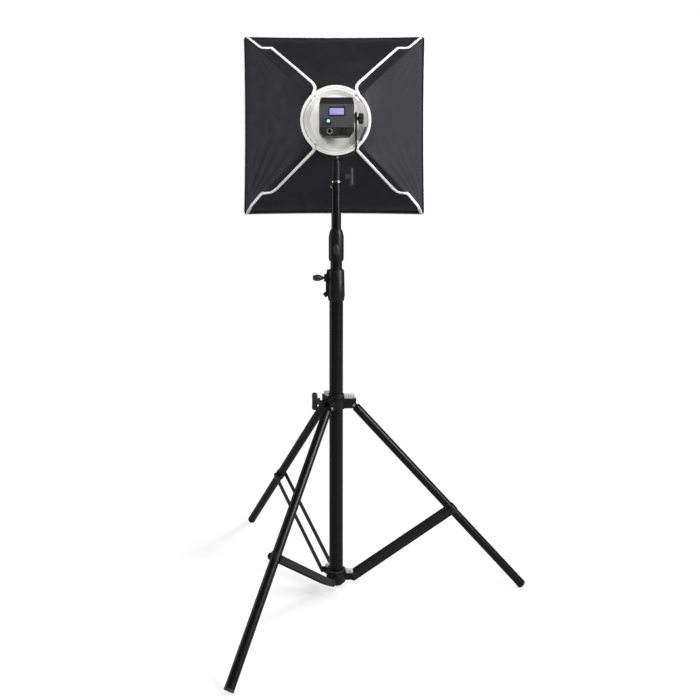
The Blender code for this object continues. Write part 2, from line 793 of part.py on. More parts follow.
# ---------------------------------------------------------------- lamp head


def lamp_outline(inset=0.0):
    """The head from behind: a tall octagon, cut back further at its lower corners."""
    wide, high = LAMP_WIDTH / 2 - inset, LAMP_HEIGHT / 2 - inset
    low_corner = [(wide - 9 * MM, -high), (wide, 12 * MM - high)]
    top_corner = [(wide, high - 16 * MM), (wide - 4 * MM, high)]
    right = low_corner + top_corner
    return right + [(-x, z) for x, z in reversed(right)]


def lamp_housing():
    """A moulded shell, open behind for its cover and in front for the light."""
    depth = LAMP_FRONT - LAMP_REAR
    middle = (LAMP_FRONT + LAMP_REAR) / 2
    shell = plate("lamp_housing", lamp_outline(), depth, satin_black("lamp_housing"), 1.5 * MM)
    shell.location = (0, middle, TILT_HEIGHT)
    shell.rotation_euler = UPRIGHT
    hollow = plate("lamp_hollow", lamp_outline(LAMP_WALL), depth, rotation=UPRIGHT)
    hollow.location = (0, middle - 4 * MM, TILT_HEIGHT)
    front, beyond = (0, 30 * MM, TILT_HEIGHT), (0, 60 * MM, TILT_HEIGHT)
    window = cylinder("lamp_front_hole", 33 * MM, front, beyond, segments=32)
    inside, outside = (30 * MM, 0, TILT_HEIGHT), (50 * MM, 0, TILT_HEIGHT)
    stem_hole = cylinder("lamp_tilt_hole", BOLT_RADIUS + GAP, inside, outside)
    cut(shell, hollow, window, stem_hole)
    for side in (-1, 1):
        for row in range(4):
            slot = block(f"vent_{side}_{row}", (12 * MM, 34 * MM, 2.4 * MM))
            slot.location = (side * LAMP_WIDTH / 2, -12 * MM, TILT_HEIGHT - 13 * MM - row * 6 * MM)
            cut(shell, slot)


def lamp_rear_panel():
    """The back cover. Its lower part leans forward and carries the switch and the socket."""
    lower_start = Vector((-53 * MM, -27 * MM))
    lower_end = Vector((-48.5 * MM, -45 * MM))
    half = LAMP_HEIGHT / 2
    outline = [
        (LAMP_REAR - GAP, half),
        (LAMP_REAR - 3 * MM, half - 2 * MM),
        (-53 * MM, 31 * MM),
        tuple(lower_start),
        tuple(lower_end),
        (LAMP_REAR - GAP, -half),
    ]
    panel = plate("lamp_rear_panel", outline, LAMP_WIDTH, satin_black("lamp_rear_panel"))
    panel.rotation_euler = (math.pi / 2, 0, math.pi / 2)
    panel.location = (0, 0, TILT_HEIGHT)
    trim = plate("lamp_rear_trim", lamp_outline(0.5 * MM), 30 * MM, rotation=UPRIGHT)
    trim.location = (0, -50 * MM, TILT_HEIGHT)
    combine(panel, "INTERSECT", trim)
    height = TILT_HEIGHT + 12.5 * MM
    recess = block("display_recess", (42 * MM, 6 * MM, 23 * MM), centre=(0, -53 * MM, height))
    glass = principled("display_window", (0.4, 0.37, 0.62), 0.15, glow=0.5)
    block("display_window", (41.2 * MM, 2 * MM, 22.2 * MM), glass, (0, -51 * MM - GAP, height), 0.3 * MM)
    dial_at = Vector((-21 * MM, -53 * MM, TILT_HEIGHT - 13 * MM))
    along_shaft = Vector((0, 12 * MM, 0))
    dial_hole = cylinder("dial_hole", SCREW_BORE, dial_at - along_shaft, dial_at + along_shaft)
    control_dial(dial_at)
    cut(panel, recess, dial_hole)
    lean = math.atan2(lower_end.x - lower_start.x, lower_start.y - lower_end.y)
    face = (lower_start + lower_end) / 2
    power_switch(panel, lean, Vector((21 * MM, face.x, TILT_HEIGHT + face.y)))
    dc_socket(panel, lean, Vector((-17.7 * MM, face.x, TILT_HEIGHT + face.y)))


def control_dial(at):
    """A push-and-turn dial on its shaft, with its axis along Y."""
    grip = lobes(8.6 * MM, 0.35 * MM, 10, 3)
    dial = plate("control_dial", grip, 7.4 * MM, satin_black("control_dial"), 0.8 * MM)
    dial.location = at + Vector((0, -4.5 * MM, 0))
    dial.rotation_euler = TO_BACK
    join(dial, cylinder("control_dial_shaft", 3 * MM, (0, 0, -14 * MM), (0, 0, 0), segments=14, parent=dial))


def power_switch(panel, lean, at):
    """A rocker in its recess, with one end pressed in."""
    seat = pivot("power_switch_seat", at, (lean, 0, 0))
    recess = block("power_switch_recess", (20 * MM, 9 * MM, 14 * MM), centre=(0, -1 * MM, 0), parent=seat)
    cut(panel, recess)
    size = (18.6 * MM, 4 * MM, 12 * MM)
    rocker = block("power_switch", size, satin_black("power_switch"), (0, -MM, 0), 0.8 * MM)
    rocker.parent = seat
    rocker.rotation_euler = (math.radians(-7), 0, 0)


def dc_socket(panel, lean, at):
    seat = pivot("dc_socket_seat", at, (lean, 0, 0))
    hole = cylinder("dc_socket_hole", 6.3 * MM, (0, -8 * MM, 0), (0, 20 * MM, 0), parent=seat, segments=16)
    cut(panel, hole)
    barrel = [
        (7.5 * MM, 2.5 * MM),
        (7.5 * MM, GAP),
        (6 * MM, GAP),
        (6 * MM, -9 * MM),
        (1.2 * MM, -9 * MM),
        (1.2 * MM, -6 * MM),
        (3.6 * MM, -6 * MM),
        (3.6 * MM, 2.5 * MM),
    ]
    turned("dc_socket", barrel, steel("dc_socket"), steps=16, rotation=TO_BACK, parent=seat)


def heat_sink():
    """A base plate and its fins, as one comb outline seen from above."""
    half, fin, pitch, count = 34 * MM, 2 * MM, 6 * MM, 12
    back, root, front = -18 * MM, 16 * MM, 22 * MM
    outline = [(-half, front), (-half, back)]
    for index in range(count - 1):
        left = -half + index * pitch + fin
        outline += [(left, back), (left, root), (left + pitch - fin, root), (left + pitch - fin, back)]
    outline += [(half, back), (half, front)]
    aluminium = principled("heat_sink", (0.45, 0.45, 0.46), 0.35, metallic=1.0)
    sink = plate("heat_sink", outline, 74 * MM, aluminium)
    sink.location = (0, 0, TILT_HEIGHT)


def fan():
    """The rotor: a hub with seven pitched blades, on the lamp's axis."""
    hub = cylinder("fan_rotor", 13 * MM, (0, -6 * MM, 0), (0, 5 * MM, 0), satin_black("fan_rotor"))
    hub.location = (0, -30 * MM, TILT_HEIGHT)
    for index in range(7):
        size = (11 * MM, 1.4 * MM, 24 * MM)
        blade = block(f"fan_blade_{index}", size, centre=(0, 0, 22.5 * MM), parent=hub)
        turn = Matrix.Rotation(index * math.tau / 7, 4, "Y") @ Matrix.Rotation(math.radians(28), 4, "Z")
        blade.rotation_euler = turn.to_euler()
        join(hub, blade)


def driver_board():
    """The circuit board behind the rear cover, with a few tall components on it."""
    laminate = principled("driver_board", (0.02, 0.12, 0.05), 0.5)
    board = block("driver_board", (66 * MM, 1.6 * MM, 82 * MM), laminate)
    board.location = (0, -39 * MM, TILT_HEIGHT)
    places = ((-24, 30, 14, 10), (20, 30, 20, 14), (24, -4, 12, 22), (24, -30, 14, 14), (2, -30, 16, 8))
    for index, (x, z, width, height) in enumerate(places):
        part = block(f"driver_part_{index}", (width * MM, 3 * MM, height * MM), parent=board)
        part.location = (x * MM, -2 * MM, z * MM)
        join(board, part)


def led_module():
    """The light source: a round board with a raised phosphor disc."""
    profile = [
        (0, 6 * MM),
        (9 * MM, 6 * MM),
        (11 * MM, 4.5 * MM),
        (11.5 * MM, 3 * MM),
        (22 * MM, 3 * MM),
        (22 * MM, 0),
        (0, 0),
    ]
    phosphor = principled("led_module", (0.9, 0.75, 0.2), 0.4)
    module = turned("led_module", profile, phosphor, steps=24, rotation=TO_FRONT)
    module.location = (0, 22 * MM + GAP, TILT_HEIGHT)


def lamp_front_ring():
    """The lamp's half of the bayonet mount: a flange, and a barrel that the softbox turns on."""
    profile = [
        (38 * MM, 24 * MM),
        (MOUNT_RADIUS, 22 * MM),
        (MOUNT_RADIUS, 3 * MM),
        (43 * MM, 3 * MM),
        (43 * MM, GAP),
        (31 * MM, GAP),
        (31 * MM, 5 * MM),
        (36 * MM, 24 * MM),
    ]
    ring = turned("lamp_front_ring", profile, satin_black("lamp_front_ring"), steps=32, rotation=TO_FRONT)
    ring.location = (0, LAMP_FRONT, TILT_HEIGHT)


# ---------------------------------------------------------------- softbox


def speedring():
    """The white ring that carries the ribs, with a stepped flange and a dish round the lamp's mount."""
    hole = MOUNT_RADIUS + 0.5 * MM
    profile = [
        (RING_RADIUS, 4.5 * MM),
        (RING_RADIUS, 0),
        (76 * MM, 0),
        (66 * MM, -6 * MM),
        (54 * MM, -9 * MM),
        (hole, -10 * MM),
        (hole, -5 * MM),
        (54 * MM, -4.5 * MM),
        (66 * MM, -1.5 * MM),
        (74 * MM, 4.5 * MM),
    ]
    cream = principled("speedring", (0.86, 0.85, 0.78), 0.4)
    ring = turned("speedring", profile, cream, steps=40, rotation=TO_BACK)
    ring.location = (0, RING_PLANE + 4.5 * MM, TILT_HEIGHT)


def release_lever():
    """A flat lever that turns on the flange, to let the ribs fold."""
    bottom = Vector((64.5 * MM, RING_PLANE - 2 * MM, TILT_HEIGHT - 52 * MM))
    length = 36 * MM
    outline = arc((0, 0), 3.5 * MM, 180, 360, 6) + arc((0, length), 2.5 * MM, 0, 180, 5)
    plated = principled("release_lever", (0.15, 0.15, 0.16), 0.35, metallic=0.8)
    lever = plate("release_lever", outline, 2 * MM, plated)
    lever.location = bottom
    lever.rotation_euler = (math.pi / 2, math.radians(23), 0)


def section(y, half_width, half_height, roundness, count=40):
    """A section across the light's axis. Roundness 1 is a circle and 0 a square with sharp corners."""
    points = []
    radius = (half_width + half_height) / 2
    for index in range(count):
        angle = math.tau * index / count
        x, z = math.cos(angle), math.sin(angle)
        reach = 1 / max(abs(x), abs(z))
        square = Vector((half_width * x * reach, half_height * z * reach))
        spot = square.lerp(Vector((radius * x, radius * z)), roundness)
        points.append((spot.x, y, TILT_HEIGHT + spot.y))
    return points


def loft(name, sections, material, thickness, front=None):
    """A skin over sections with equal point counts, closed at the front by a fan if a tip is given."""
    shape = bmesh.new()
    rings = [[shape.verts.new(p) for p in points] for points in sections]
    count = len(rings[0])
    for near, far in zip(rings, rings[1:]):
        for i in range(count):
            j = (i + 1) % count
            shape.faces.new((near[i], far[i], far[j], near[j]))
    if front is not None:
        tip = shape.verts.new(front)
        for i in range(count):
            shape.faces.new((rings[-1][(i + 1) % count], rings[-1][i], tip))
    mesh = bpy.data.meshes.new(name)
    shape.to_mesh(mesh)
    shape.free()
    obj = add_object(name, mesh, material)
    shell = obj.modifiers.new("cloth_thickness", "SOLIDIFY")
    shell.thickness = thickness
    shell.offset = -1
    shell.use_even_offset = True
    return obj


def softbox_cover():
    """The black back cover: four panels that run from the ring to a steeper lip round the front edge."""
    wide, high = BOX_WIDTH / 2, BOX_HEIGHT / 2
    inset = SHOULDER_INSET
    sections = [
        section(COVER_BACK, COVER_HOLE, COVER_HOLE, 1.0),
        section(COVER_BACK + 3 * MM, COVER_HOLE + 8 * MM, COVER_HOLE + 8 * MM, 0.85),
        section(COVER_BACK + 50 * MM, 138 * MM, 136 * MM, 0.12),
        section(COVER_BACK + 98 * MM, 188 * MM, 184 * MM, 0.0),
        section(COVER_SHOULDER, wide - inset, high - inset, 0.0),
        section(COVER_RIM, wide, high, 0.0),
    ]
    fabric = principled("softbox_cover", (0.022, 0.021, 0.024), 0.7)
    loft("softbox_cover", sections, fabric, COVER_THICKNESS)


def front_diffuser():
    """The white front: a short skirt round the edge and a slightly crowned face."""
    wide, high = BOX_WIDTH / 2, BOX_HEIGHT / 2
    start = COVER_RIM + 2 * MM
    sections = [
        section(start, wide, high, 0.0),
        section(start + 8 * MM, wide - 1 * MM, high - 1 * MM, 0.0),
        section(start + 13 * MM, wide - 60 * MM, high - 60 * MM, 0.25),
    ]
    fabric = principled("front_diffuser", (0.9, 0.9, 0.9), 0.8)
    loft("front_diffuser", sections, fabric, 1.2 * MM, (0, start + 18 * MM, TILT_HEIGHT))


def ribs():
    """Four sprung rods from the ring to the corners, inside the cover."""
    names = ("rib_top_right", "rib_top_left", "rib_bottom_left", "rib_bottom_right")
    signs = ((1, 1), (-1, 1), (-1, -1), (1, -1))
    for name, (side, up) in zip(names, signs):
        root = 58 * MM
        tip_x, tip_z = BOX_WIDTH / 2 - 26 * MM, BOX_HEIGHT / 2 - 26 * MM
        curve = bpy.data.curves.new(name, "CURVE")
        curve.dimensions = "3D"
        curve.bevel_depth = 2 * MM
        curve.bevel_resolution = 1
        curve.use_fill_caps = True
        spline = curve.splines.new("POLY")
        steps = 6
        spline.points.add(steps)
        for index in range(steps + 1):
            share = index / steps
            bow = 4 * MM * math.sin(math.pi * share)
            x = side * (root + (tip_x - root) * share + bow)
            z = TILT_HEIGHT + up * (root + (tip_z - root) * share + bow)
            y = COVER_BACK + 11 * MM + (COVER_RIM - 14 * MM - COVER_BACK - 11 * MM) * share
            spline.points[index].co = (x, y, z, 1)
        add_object(name, mesh_of_curve(name, curve), steel(name))


def build():
    clear_scene()
    new_collection(PARTS)
    new_collection(CUTTERS)
    column()
    middle_section()
    upper_section()
    lower_clamp()
    upper_clamp()
    folding_base()
    yoke()
    tilt_knob()
    lamp_housing()
    lamp_rear_panel()
    heat_sink()
    fan()
    driver_board()
    led_module()
    lamp_front_ring()
    speedring()
    release_lever()
    softbox_cover()
    front_diffuser()
    ribs()


build()
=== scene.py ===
"""Studio softbox: how it looks.

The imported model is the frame, and every piece here is built round it, in metres with +Z up. The lamp shines
towards +Y, so the camera stands at -Y and sees the back of the softbox.
"""

import math

import bmesh
import bpy
import numpy as np
from mathutils import Matrix, Vector, noise
from mathutils.bvhtree import BVHTree


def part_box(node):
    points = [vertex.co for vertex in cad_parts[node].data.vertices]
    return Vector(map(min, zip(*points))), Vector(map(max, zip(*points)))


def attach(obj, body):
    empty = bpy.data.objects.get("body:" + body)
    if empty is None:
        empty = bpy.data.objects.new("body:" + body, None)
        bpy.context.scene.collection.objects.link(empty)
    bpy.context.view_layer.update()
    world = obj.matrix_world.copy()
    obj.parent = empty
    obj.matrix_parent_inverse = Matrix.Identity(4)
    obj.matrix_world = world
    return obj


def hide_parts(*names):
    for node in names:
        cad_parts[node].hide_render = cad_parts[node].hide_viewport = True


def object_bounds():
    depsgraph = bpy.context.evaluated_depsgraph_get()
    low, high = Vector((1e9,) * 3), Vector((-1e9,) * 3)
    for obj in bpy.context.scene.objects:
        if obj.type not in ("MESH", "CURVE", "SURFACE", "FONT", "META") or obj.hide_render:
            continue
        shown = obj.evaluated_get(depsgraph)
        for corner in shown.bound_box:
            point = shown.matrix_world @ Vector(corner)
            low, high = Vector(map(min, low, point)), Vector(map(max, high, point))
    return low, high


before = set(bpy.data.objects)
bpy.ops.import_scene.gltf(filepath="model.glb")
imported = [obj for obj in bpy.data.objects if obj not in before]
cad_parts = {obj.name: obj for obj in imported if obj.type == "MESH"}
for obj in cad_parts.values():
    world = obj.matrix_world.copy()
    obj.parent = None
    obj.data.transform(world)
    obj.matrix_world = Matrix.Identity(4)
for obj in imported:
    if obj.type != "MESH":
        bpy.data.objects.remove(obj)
cad_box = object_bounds()

MM = 0.001

# The softbox's outline, from the frame
COVER_LOW, COVER_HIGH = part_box("softbox_cover")
HALF_WIDTH = (COVER_HIGH.x - COVER_LOW.x) / 2
HALF_HEIGHT = (COVER_HIGH.z - COVER_LOW.z) / 2
AXIS_Z = (COVER_HIGH.z + COVER_LOW.z) / 2
RIM_Y = COVER_HIGH.y
COVER_Y = COVER_LOW.y
RING_LOW, RING_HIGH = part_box("speedring")
RING_RADIUS = (RING_HIGH.x - RING_LOW.x) / 2
RING_Y = RING_LOW.y
DIFFUSER_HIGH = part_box("front_diffuser")[1]
FLOOR_Z = cad_box[0].z

# The cover's cut
COVER_HOLE = 87 * MM
SHOULDER_INSET = 18 * MM
LIP_DEPTH = 32 * MM
SIDE_BOW = 3 * MM
PIPING_WIDTH = 8.4 * MM
PIPING_HEIGHT = 4.2 * MM


def middle(node):
    """The middle of a node's box."""
    low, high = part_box(node)
    return (low + high) / 2


# -------- materials


class Paint:
    """A Principled material and short calls for the nodes that shape it. Places are the object's own."""

    def __init__(self, name, metallic=0.0):
        self.name = name
        self.material = bpy.data.materials.new(name)
        self.material.use_nodes = True
        self.tree = self.material.node_tree
        self.shader = self.tree.nodes["Principled BSDF"]
        self.place = self.node("TexCoord").outputs["Object"]
        self.set("Metallic", metallic)

    def put(self, socket, value):
        """Links a socket to an output or sets its value. A colour comes without its alpha."""
        if isinstance(value, bpy.types.NodeSocket):
            self.tree.links.new(value, socket)
        elif socket.type == "RGBA":
            socket.default_value = (*value, 1.0)
        else:
            socket.default_value = value

    def set(self, name, value):
        self.put(self.shader.inputs[name], value)

    def node(self, kind, inputs=None, **settings):
        node = self.tree.nodes.new("ShaderNode" + kind)
        for name, value in settings.items():
            setattr(node, name, value)
        for socket, value in (inputs or {}).items():
            self.put(node.inputs[socket], value)
        return node

    def math(self, operation, a, b=0.0):
        return self.node("Math", {0: a, 1: b}, operation=operation).outputs[0]

    def times(self, a, b):
        return self.math("MULTIPLY", a, b)

    def axes(self, offset=(0, 0, 0)):
        """The place's x, y and z, measured from this point."""
        moved = self.node("VectorMath", {0: self.place, 1: offset}, operation="SUBTRACT").outputs[0]
        return self.node("SeparateXYZ", {0: moved}).outputs

    def noise(self, scale, detail=3.0, length=1.0, along=(0, 0, 1)):
        """Noise from 0 to 1, drawn out to this many times its size along the axis."""
        turn = Vector((0, 0, 1)).rotation_difference(Vector(along)).to_euler()
        inputs = {"Vector": self.place, "Rotation": turn, "Scale": (1, 1, length)}
        place = self.node("Mapping", inputs, vector_type="TEXTURE").outputs[0]
        return self.node("TexNoise", {"Vector": place, "Scale": scale, "Detail": detail}).outputs[0]

    def span(self, value, start, end, low=0.0, high=1.0):
        """Runs from low to high while the value runs from start to end."""
        inputs = {"Value": value, "From Min": start, "From Max": end, "To Min": low, "To Max": high}
        return self.node("MapRange", inputs).outputs[0]

    def blend(self, factor, a, b):
        """A colour between a and b."""
        mix = self.node("Mix", data_type="RGBA")
        for index, value in ((0, factor), (6, a), (7, b)):
            self.put(mix.inputs[index], value)
        return mix.outputs[2]

    def tint(self, factor, a, b):
        """Makes the base colour a blend of a and b."""
        self.set("Base Color", self.blend(factor, a, b))

    def bump(self, height, distance, under=None):
        inputs = {"Height": height, "Distance": distance, "Strength": 1.0}
        if under:
            inputs["Normal"] = under
        normal = self.node("Bump", inputs).outputs[0]
        self.set("Normal", normal)
        return normal

    def edges(self, radius):
        """1 along outer and inner edges and 0 on the faces between them."""
        rounded = self.node("Bevel", {"Radius": radius}, samples=4).outputs[0]
        flat = self.node("NewGeometry").outputs["Normal"]
        match = self.node("VectorMath", {0: rounded, 1: flat}, operation="DOT_PRODUCT").outputs["Value"]
        return self.span(match, 0.995, 0.9)

    def patchy(self, scale, low, high, detail=3.0, start=0.3):
        """Lets the roughness drift between low and high."""
        self.set("Roughness", self.span(self.noise(scale, detail), start, 0.7, low, high))

    def reach(self, a, b):
        """How far a place is from the middle, from its two offsets."""
        squares = [self.math("POWER", side, 2.0) for side in (a, b)]
        return self.math("SQRT", self.math("ADD", *squares))

    def worn(self, base, bare, radius=0.6 * MM, patch=180):
        """The base colour, rubbed through to the bare one along its edges in patches."""
        rubbed = self.times(self.edges(radius), self.span(self.noise(patch), 0.4, 0.65))
        self.tint(rubbed, base, bare)
        return rubbed

    def weave(self, pitch):
        """The height of a plain weave, 0 to 1, with threads along x and z."""
        x, y, z = self.axes()
        turn = math.pi / pitch
        across = self.math("SINE", self.times(self.math("ADD", x, y), turn))
        up = self.math("SINE", self.times(z, turn))
        return self.span(self.times(across, up), -1.0, 1.0)


def tube_black(name="gloss_black_tube", along=(0, 0, 1)):
    """Glossy powder coat: a faint orange peel, with hair scratches along the tube."""
    paint = Paint(name)
    scratches = paint.noise(420, 2, 30, along)
    paint.patchy(60, 0.3, 0.38, start=0.35)
    hairs = paint.span(scratches, 0.68, 0.82)
    paint.tint(hairs, (0.003, 0.003, 0.0035), (0.012, 0.012, 0.0125))
    paint.set("Specular IOR Level", 0.27)
    paint.set("Coat Weight", 0.05)
    paint.set("Coat Roughness", 0.12)
    paint.bump(paint.noise(900), 0.006 * MM)
    return paint


def casting_black():
    """Moulded glass-filled nylon, satin, with a fine spark texture and rubbed edges."""
    paint = Paint("black_casting")
    paint.worn((0.005, 0.005, 0.0055), (0.03, 0.03, 0.032))
    paint.set("Specular IOR Level", 0.32)
    paint.patchy(90, 0.34, 0.5)
    paint.bump(paint.noise(1800, 4), 0.05 * MM)
    return paint


def strap_black():
    """Painted steel strap: flat satin paint, chipped along the edges."""
    paint = Paint("black_strap")
    paint.worn((0.007, 0.007, 0.0075), (0.14, 0.14, 0.14), 0.5 * MM, 320)
    paint.set("Specular IOR Level", 0.35)
    paint.patchy(140, 0.26, 0.42)
    paint.bump(paint.noise(1200), 0.02 * MM)
    return paint


def knob_black():
    """Moulded grip: matt, slightly soft, polished where fingers turn it."""
    paint = Paint("black_knob")
    rubbed = paint.worn((0.018, 0.018, 0.02), (0.05, 0.05, 0.052), 1.2 * MM, 120)
    paint.set("Roughness", paint.span(rubbed, 0.0, 1.0, 0.5, 0.3))
    paint.bump(paint.noise(2400, 3), 0.05 * MM)
    return paint


def rubber_black():
    """Matt rubber with floor dust in its grain."""
    paint = Paint("black_rubber")
    dust = paint.span(paint.noise(240, 5), 0.5, 0.8)
    paint.tint(dust, (0.018, 0.018, 0.018), (0.07, 0.066, 0.06))
    paint.set("Roughness", paint.span(dust, 0.0, 1.0, 0.62, 0.9))
    paint.bump(paint.noise(1500, 4), 0.08 * MM)
    return paint


def nylon_white(name="white_nylon", clean=(0.82, 0.81, 0.77), soiled=(0.66, 0.64, 0.59)):
    """Natural nylon: milky, with a slight glow through it and greyer patches from handling."""
    paint = Paint(name)
    paint.set("Roughness", 0.42)
    grime = paint.span(paint.noise(160, 4), 0.45, 0.75)
    paint.tint(grime, clean, soiled)
    paint.set("Subsurface Weight", 0.2)
    paint.set("Subsurface Scale", 2 * MM)
    paint.bump(paint.noise(900), 0.03 * MM)
    return paint


def steel_bright():
    """Turned and plated steel, with fine tool rings and a few dull spots."""
    paint = Paint("bright_steel", metallic=1.0)
    paint.patchy(260, 0.18, 0.42, 4, 0.35)
    dull = paint.span(paint.noise(120), 0.4, 0.7)
    paint.tint(dull, (0.66, 0.66, 0.64), (0.5, 0.49, 0.46))
    paint.bump(paint.noise(500, 2, 0.11), 0.02 * MM)
    return paint


def socket_metal():
    """The supply socket: a plated rim round a black insulator."""
    paint = Paint("supply_socket")
    x, _, z = paint.axes(middle("dc_socket"))
    rim = paint.span(paint.reach(x, z), 5.6 * MM, 6.0 * MM)
    paint.tint(rim, (0.012, 0.012, 0.012), (0.75, 0.75, 0.74))
    paint.set("Metallic", rim)
    paint.patchy(300, 0.22, 0.4)
    return paint


def rod_steel():
    """Spring steel rib, oiled and slightly blued."""
    paint = Paint("rib_rod", metallic=1.0)
    paint.tint(paint.noise(70), (0.4, 0.41, 0.45), (0.55, 0.54, 0.52))
    paint.patchy(300, 0.22, 0.4)
    return paint


def shell_black():
    """The lamp's moulded shell: charcoal, fine spark texture, edges a little polished."""
    paint = Paint("lamp_shell")
    rubbed = paint.worn((0.014, 0.014, 0.015), (0.04, 0.04, 0.042), 0.8 * MM, 150)
    paint.set("Roughness", paint.span(rubbed, 0.0, 1.0, 0.46, 0.3))
    paint.bump(paint.noise(2600, 4), 0.06 * MM)
    return paint


def panel_charcoal():
    """The rear cover: charcoal, with painted shade: a darker band across its top and a darker leaning face at
    its foot, for faces turned away from the light.
    """
    paint = Paint("lamp_rear_cover")
    height = paint.axes(middle("lamp_rear_panel"))[2]
    # Painted shade: the top band and the leaning foot face are painted darker, for faces turned away from the
    # light.
    shaded_top_band = paint.span(height, 30.6 * MM, 31.2 * MM)
    foot = paint.span(height, -26.6 * MM, -27.2 * MM)
    face = paint.blend(paint.math("MAXIMUM", shaded_top_band, foot), (0.048, 0.048, 0.051), (0.013, 0.013, 0.014))
    smudge = paint.span(paint.noise(45, 4), 0.4, 0.7)
    paint.worn(face, (0.07, 0.07, 0.074), 0.6 * MM, 200)
    paint.set("Roughness", paint.span(smudge, 0.0, 1.0, 0.44, 0.3))
    paint.bump(paint.noise(3000, 4), 0.04 * MM)
    return paint


def control_black():
    """Satin moulded control, glossier than the shell."""
    paint = Paint("lamp_controls")
    paint.set("Base Color", (0.014, 0.014, 0.016))
    paint.patchy(200, 0.22, 0.36, 4)
    paint.bump(paint.noise(2200), 0.02 * MM)
    return paint


def display_glass():
    """A lit lavender display behind clear glass, inside a dark printed border, with level bars."""
    low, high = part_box("display_window")
    paint = Paint("display")
    paint.set("Roughness", 0.08)
    x, _, z = paint.axes(middle("display_window"))
    wide, tall = (high.x - low.x) * 0.43, (high.z - low.z) * 0.36

    def inside(value, half, blur=0.3 * MM):
        return paint.span(paint.math("ABSOLUTE", value), half + blur, half - blur)

    lit = paint.times(inside(x, wide), inside(z, tall))
    dots = paint.math("SINE", paint.times(x, math.tau / (0.6 * MM)))
    lines = paint.math("SINE", paint.times(z, math.tau / (0.6 * MM)))
    grid = paint.span(paint.math("ADD", dots, lines), -2.0, 2.0, 0.8, 1.0)
    bars = None
    for row, length in ((3.4, 0.72), (-0.6, 0.46), (-4.6, 0.6)):
        height = paint.math("SUBTRACT", z, row * MM)
        along = paint.math("SUBTRACT", x, -wide * (1 - length))
        bar = paint.times(inside(height, 0.7 * MM, 0.15 * MM), inside(along, wide * length * 0.9))
        bars = paint.math("MAXIMUM", bars, bar) if bars else bar
    shown = paint.blend(bars, (0.33, 0.31, 0.52), (0.2, 0.18, 0.36))
    paint.tint(lit, (0.008, 0.008, 0.03), (0.12, 0.11, 0.2))
    paint.set("Emission Color", shown)
    paint.set("Emission Strength", paint.times(lit, grid))
    paint.set("Coat Weight", 1.0)
    paint.set("Coat Roughness", 0.03)
    return paint


def sink_aluminium():
    """Extruded aluminium with lines along the die."""
    paint = Paint("heat_sink_metal", metallic=1.0)
    paint.set("Base Color", (0.6, 0.6, 0.61))
    lines = paint.noise(700, 2, 50)
    paint.set("Roughness", paint.span(lines, 0.3, 0.7, 0.3, 0.5))
    paint.bump(lines, 0.02 * MM)
    return paint


def board_green():
    """Green solder mask with paler copper runs under it."""
    paint = Paint("circuit_board")
    runs = {"Vector": paint.place, "Scale": 160.0, "Mortar Size": 0.03}
    cells = paint.node("TexBrick", runs).outputs["Fac"]
    paint.tint(cells, (0.015, 0.1, 0.045), (0.05, 0.2, 0.08))
    paint.patchy(300, 0.3, 0.5)
    return paint


def source_yellow():
    """A yellow phosphor disc in the middle of a white ceramic board."""
    paint = Paint("light_source")
    x, _, z = paint.axes(middle("led_module"))
    disc = paint.span(paint.reach(x, z), 10 * MM, 9.5 * MM)
    grain = paint.blend(paint.noise(900), (0.85, 0.62, 0.1), (0.92, 0.74, 0.18))
    paint.tint(disc, (0.88, 0.87, 0.82), grain)
    return paint


def mount_black():
    """Black anodised aluminium with bright rub marks where the mounts turn on each other."""
    paint = Paint("mount_metal", metallic=0.6)
    paint.worn((0.02, 0.02, 0.022), (0.3, 0.3, 0.31), 0.5 * MM, 260)
    paint.patchy(180, 0.25, 0.42)
    return paint


def ring_cream():
    """Cream-white moulded ring, slightly glossy, with painted shade: greyer along its grooves and step edges.
    """
    paint = Paint("cream_ring")
    # Painted shade: the ring's edges and grooves are tinted grey, for the shade that gathers in its steps.
    painted_groove_shade = paint.times(paint.edges(1.5 * MM), 0.75)
    clouds = paint.span(paint.noise(30, 4), 0.35, 0.7)
    cream = paint.blend(clouds, (0.81, 0.805, 0.78), (0.75, 0.745, 0.715))
    paint.tint(painted_groove_shade, cream, (0.42, 0.42, 0.41))
    paint.patchy(120, 0.28, 0.42, 4)
    paint.set("Subsurface Weight", 0.1)
    paint.set("Subsurface Scale", 3 * MM)
    paint.bump(paint.noise(1400, 3), 0.02 * MM)
    return paint


def lever_grey(name, colour):
    """Plated steel, brushed along its length."""
    paint = Paint(name, metallic=0.35)
    paint.worn(colour, (0.6, 0.6, 0.6), 0.5 * MM, 400)
    paint.set("Roughness", paint.span(paint.noise(600, 2, 20), 0.3, 0.7, 0.22, 0.42))
    return paint


def cloth_black():
    """Coated black nylon: a fine plain weave, faint creases, and a soft grey sheen at a slant. The two side
    panels are painted a little greyer: painted light, for the brighter light that falls on the sides."""
    paint = Paint("black_cloth")
    weave = paint.weave(0.45 * MM)
    faded = paint.span(paint.noise(9, 5), 0.35, 0.7)
    thread = paint.blend(faded, (0.009, 0.009, 0.0105), (0.015, 0.0145, 0.017))
    x, _, z = paint.axes((0, 0, AXIS_Z))
    # Painted light: where |x| is past |z| (the side panels) the thread colour is lighter, for the light
    # falling on them.
    side = paint.math("SUBTRACT", paint.math("ABSOLUTE", x), paint.math("ABSOLUTE", z))
    thread_with_painted_side_light = paint.blend(paint.span(side, -6 * MM, 12 * MM), thread, (0.021, 0.0205, 0.024))
    paint.tint(paint.times(weave, 0.3), thread_with_painted_side_light, (0.028, 0.027, 0.031))
    paint.patchy(40, 0.5, 0.64, 4)
    paint.set("Specular IOR Level", 0.22)
    paint.set("Sheen Weight", 0.07)
    paint.set("Sheen Roughness", 0.4)
    paint.set("Sheen Tint", (0.85, 0.84, 0.9))
    creases = paint.bump(paint.noise(28, 6, 2), 1.1 * MM)
    paint.bump(weave, 0.06 * MM, creases)
    return paint


